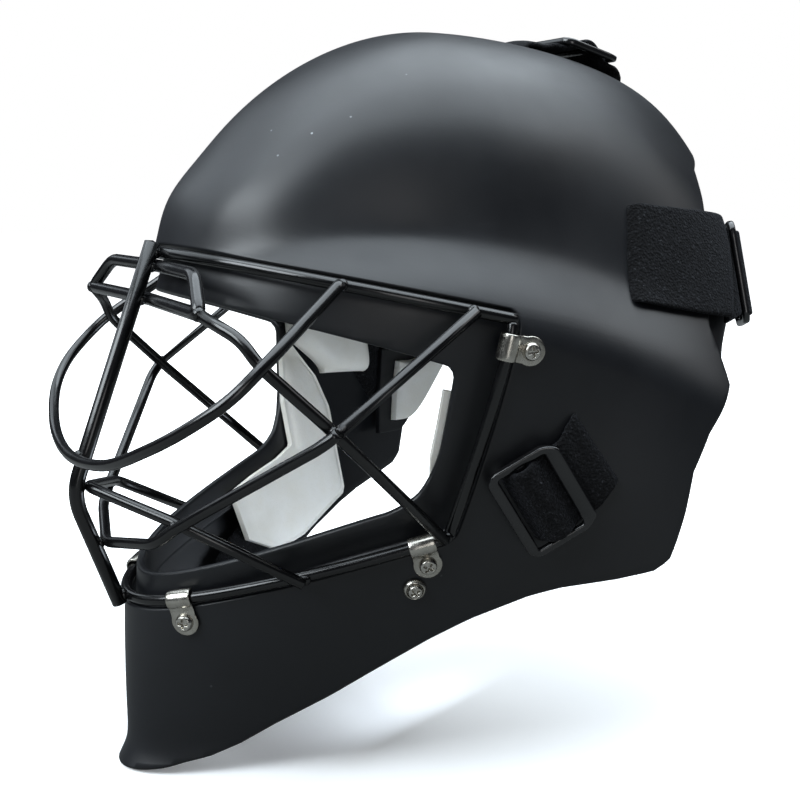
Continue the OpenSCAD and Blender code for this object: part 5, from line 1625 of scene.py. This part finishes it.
half = chin_half()
chin_web = add_mesh("chin_strap_webbing", join([half, mirror(half)]), None, web_mat, "webbing",
                    "chin_strap")
print("chin strap:", len(chin_web.data.vertices), "points")


# %% Chin cup
def cup_mesh(steps=26, n=72):
    """Half ellipsoid: a quarter circle turned round an oval, down the outer face from the pole
    to the rim, and back up the inner face."""
    a = np.radians(np.linspace(90, 0, steps))
    rim = 1 - 0.5 * CUP_WALL / CUP_SIZE[0]
    r = np.maximum(np.concatenate([np.cos(a), [rim], np.cos(a[::-1])]), 1e-3)[:, None]
    z = np.concatenate([-np.sin(a), [0.0], -np.sin(a[::-1])])[:, None]
    size = CUP_SIZE - CUP_WALL * (np.arange(len(r)) > steps)[:, None]
    g = 2 * np.pi * np.arange(n) / n
    pts = np.stack([size[:, :1] * r * np.cos(g), size[:, 1:2] * r * np.sin(g),
                    size[:, 2:] * z + 0 * g], -1) + CUP_MID
    return pts.reshape(-1, 3), quads(len(r), n, round_m=True, flip=True)


cup = add_mesh("chin_cup_moulded", cup_mesh(), "chin_piece", plate_mat, "cup_plastic", "chin_cup")
print("chin cup:", len(cup.data.vertices), "points")

# %% [markdown]
# ## Nuts
# The nuts sit inside the shell, where only a look from behind finds them. A plain nut needs no new
# surface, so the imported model's own mesh stays and gets the plating of its screws.

# %% Plate the nuts
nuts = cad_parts["clip_nuts"]
nuts.data.materials.clear()
nuts.data.materials.append(screw_mat)
print("nuts:", len(nuts.data.vertices), "points")

# %% [markdown]
# ## Fabric that crosses a joint
# The straps start on the shell and end on the back plate, and the chin strap ends on the cup. Each
# is one mesh whose place is baked into its points; it does not bend when the joint moves.

# %% Bake the straps in place
RIGHT = np.array([-1.0, 1, 1])


def place(p):
    """A point as three plain numbers in metres."""
    return tuple(float(v) for v in metres(p))


up_from, up_to = map_point(upper_laid, 46, 0), map_point(upper_laid, 66, 0)
for side, m in (("left", np.ones(3)), ("right", RIGHT)):
    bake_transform(straps["upper_strap_" + side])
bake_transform(straps["top_strap"], "shell_assembly", "back_plate_assembly",
         start=place(map_point(top_laid, 108, 0)), end=place(map_point(top_laid, 130, 0)))
place(seat(*ANCHOR, -5.0) - [0, 0, 4])
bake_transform(chin_web)
print("straps that cross a joint: 4")

# %% [markdown]
# ## Floor and light
# The helmet was shot on white, and its black faces show little but the lamps. So the lamps are
# soft boxes that the camera can't see: a large cool one above draws the long highlight over the
# dome, one in front lights the brow and the chin lip, one far off on the wearer's right picks out
# the rods and the pads, and two weak ones give the rear and the flank an edge. A small one inside
# stands for the light that comes in through the neck opening. White paper under the helmet would
# throw light up into the hollows, which the photograph doesn't have. The paper is therefore white
# for the camera only, and dark grey for every other ray.

# %% White floor
FLOOR, PAPER_DARK = 6, (0.16, 0.16, 0.155, 1)
me = bpy.data.meshes.new("floor")
me.from_pydata([(-FLOOR, -FLOOR, 0), (FLOOR, -FLOOR, 0), (FLOOR, FLOOR, 0), (-FLOOR, FLOOR, 0)],
               [], [(0, 1, 2, 3)])
floor = bpy.data.objects.new("floor", me)
SCENE.objects.link(floor)
paper, t, p, co = start_material("white paper sweep", Roughness=0.8, Specular_IOR_Level=0.2,
                                 Emission_Color=(1, 1, 1, 1))
tone = add_node(t, "TexNoise", co, Scale=each(333), Detail=2, Roughness=0.55)
tone = add_node(t, "ValToRGB", {"Fac": tone},
                stops=[(0.2, srgb("#fbfbfb")), (0.8, srgb("#ffffff"))])
# the paper glows, weakly near the object so that its real shadow shows and fully further off:
# a painted glow that turns it evenly white away from the object
far = add_node(t, "VectorMath", {0: co["Vector"]}, "Value", operation="LENGTH")
glow = add_node(t, "MapRange", {"Value": far}, "Result", From_Min=0.12, From_Max=0.42,
                To_Min=0.12, To_Max=1.0)
feed(t, p, Base_Color=tone, Emission_Strength=glow)
dark = add_node(t, "BsdfDiffuse", Color=PAPER_DARK)
seen = add_node(t, "LightPath", out="Is Camera Ray")
pick = add_node(t, "MixShader", {"Fac": seen, 1: dark, 2: p.outputs["BSDF"]})
feed(t, t.nodes["Material Output"], Surface=pick)
me.materials.append(paper)
print("floor:", floor.name)

# %% World: a faint blue light, white for the camera
world = bpy.data.worlds.new("studio")
world.use_nodes = True
t = world.node_tree
t.nodes["Background"].inputs["Color"].default_value = (0.80, 0.86, 1.0, 1)
t.nodes["Background"].inputs["Strength"].default_value = 0.05
white = add_node(t, "Background", Color=(1, 1, 1, 1), Strength=1.0)
seen = add_node(t, "LightPath", out="Is Camera Ray")
pick = add_node(t, "MixShader", {"Fac": seen, 1: t.nodes["Background"].outputs[0], 2: white})
feed(t, t.nodes["World Output"], Surface=pick)
bpy.context.scene.world = world
bpy.context.scene.view_settings.view_transform = "Standard"
print("world:", world.name)

# %% Soft boxes: place, aim, size in metres, power in watts, colour
COOL, WHITE = (0.84, 0.93, 1.0), (1.0, 1.0, 1.0)
BOXES = {
    "box above": ((0.0, 0.2, 1.6), (0, 0, 0.2), (2.0, 2.3), 58, COOL),
    "box far": ((-1.1, -0.7, 1.2), (0, 0, 0.2), (1.3, 1.3), 6.5, COOL),
    "box front": ((0.1, -1.5, 1.25), (0, 0, 0.2), (1.4, 1.0), 38, (0.88, 0.95, 1.0)),
    "box rear": ((0.6, 1.2, 1.1), (0, 0, 0.2), (0.7, 0.7), 2, WHITE),
    "box side": ((1.6, -0.5, 0.4), (0, 0, 0.1), (0.5, 0.8), 2.5, WHITE),
    "box inside": ((0.035, 0.02, 0.05), (-0.08, -0.03, 0.1), (0.07, 0.07), 0.085,
                   (0.80, 0.89, 1.0))}
for name, (at, aim, size, power, tint) in BOXES.items():
    lamp = bpy.data.lights.new(name, "AREA")
    lamp.color = tint
    lamp.shape = "RECTANGLE"
    lamp.size, lamp.size_y = size
    lamp.energy = power
    ob = bpy.data.objects.new(name, lamp)
    SCENE.objects.link(ob)
    ob.location = Vector(at)
    ob.rotation_euler = (Vector(aim) - Vector(at)).to_track_quat("-Z", "Y").to_euler()
    ob.visible_camera = False
print("soft boxes:", len(BOXES))
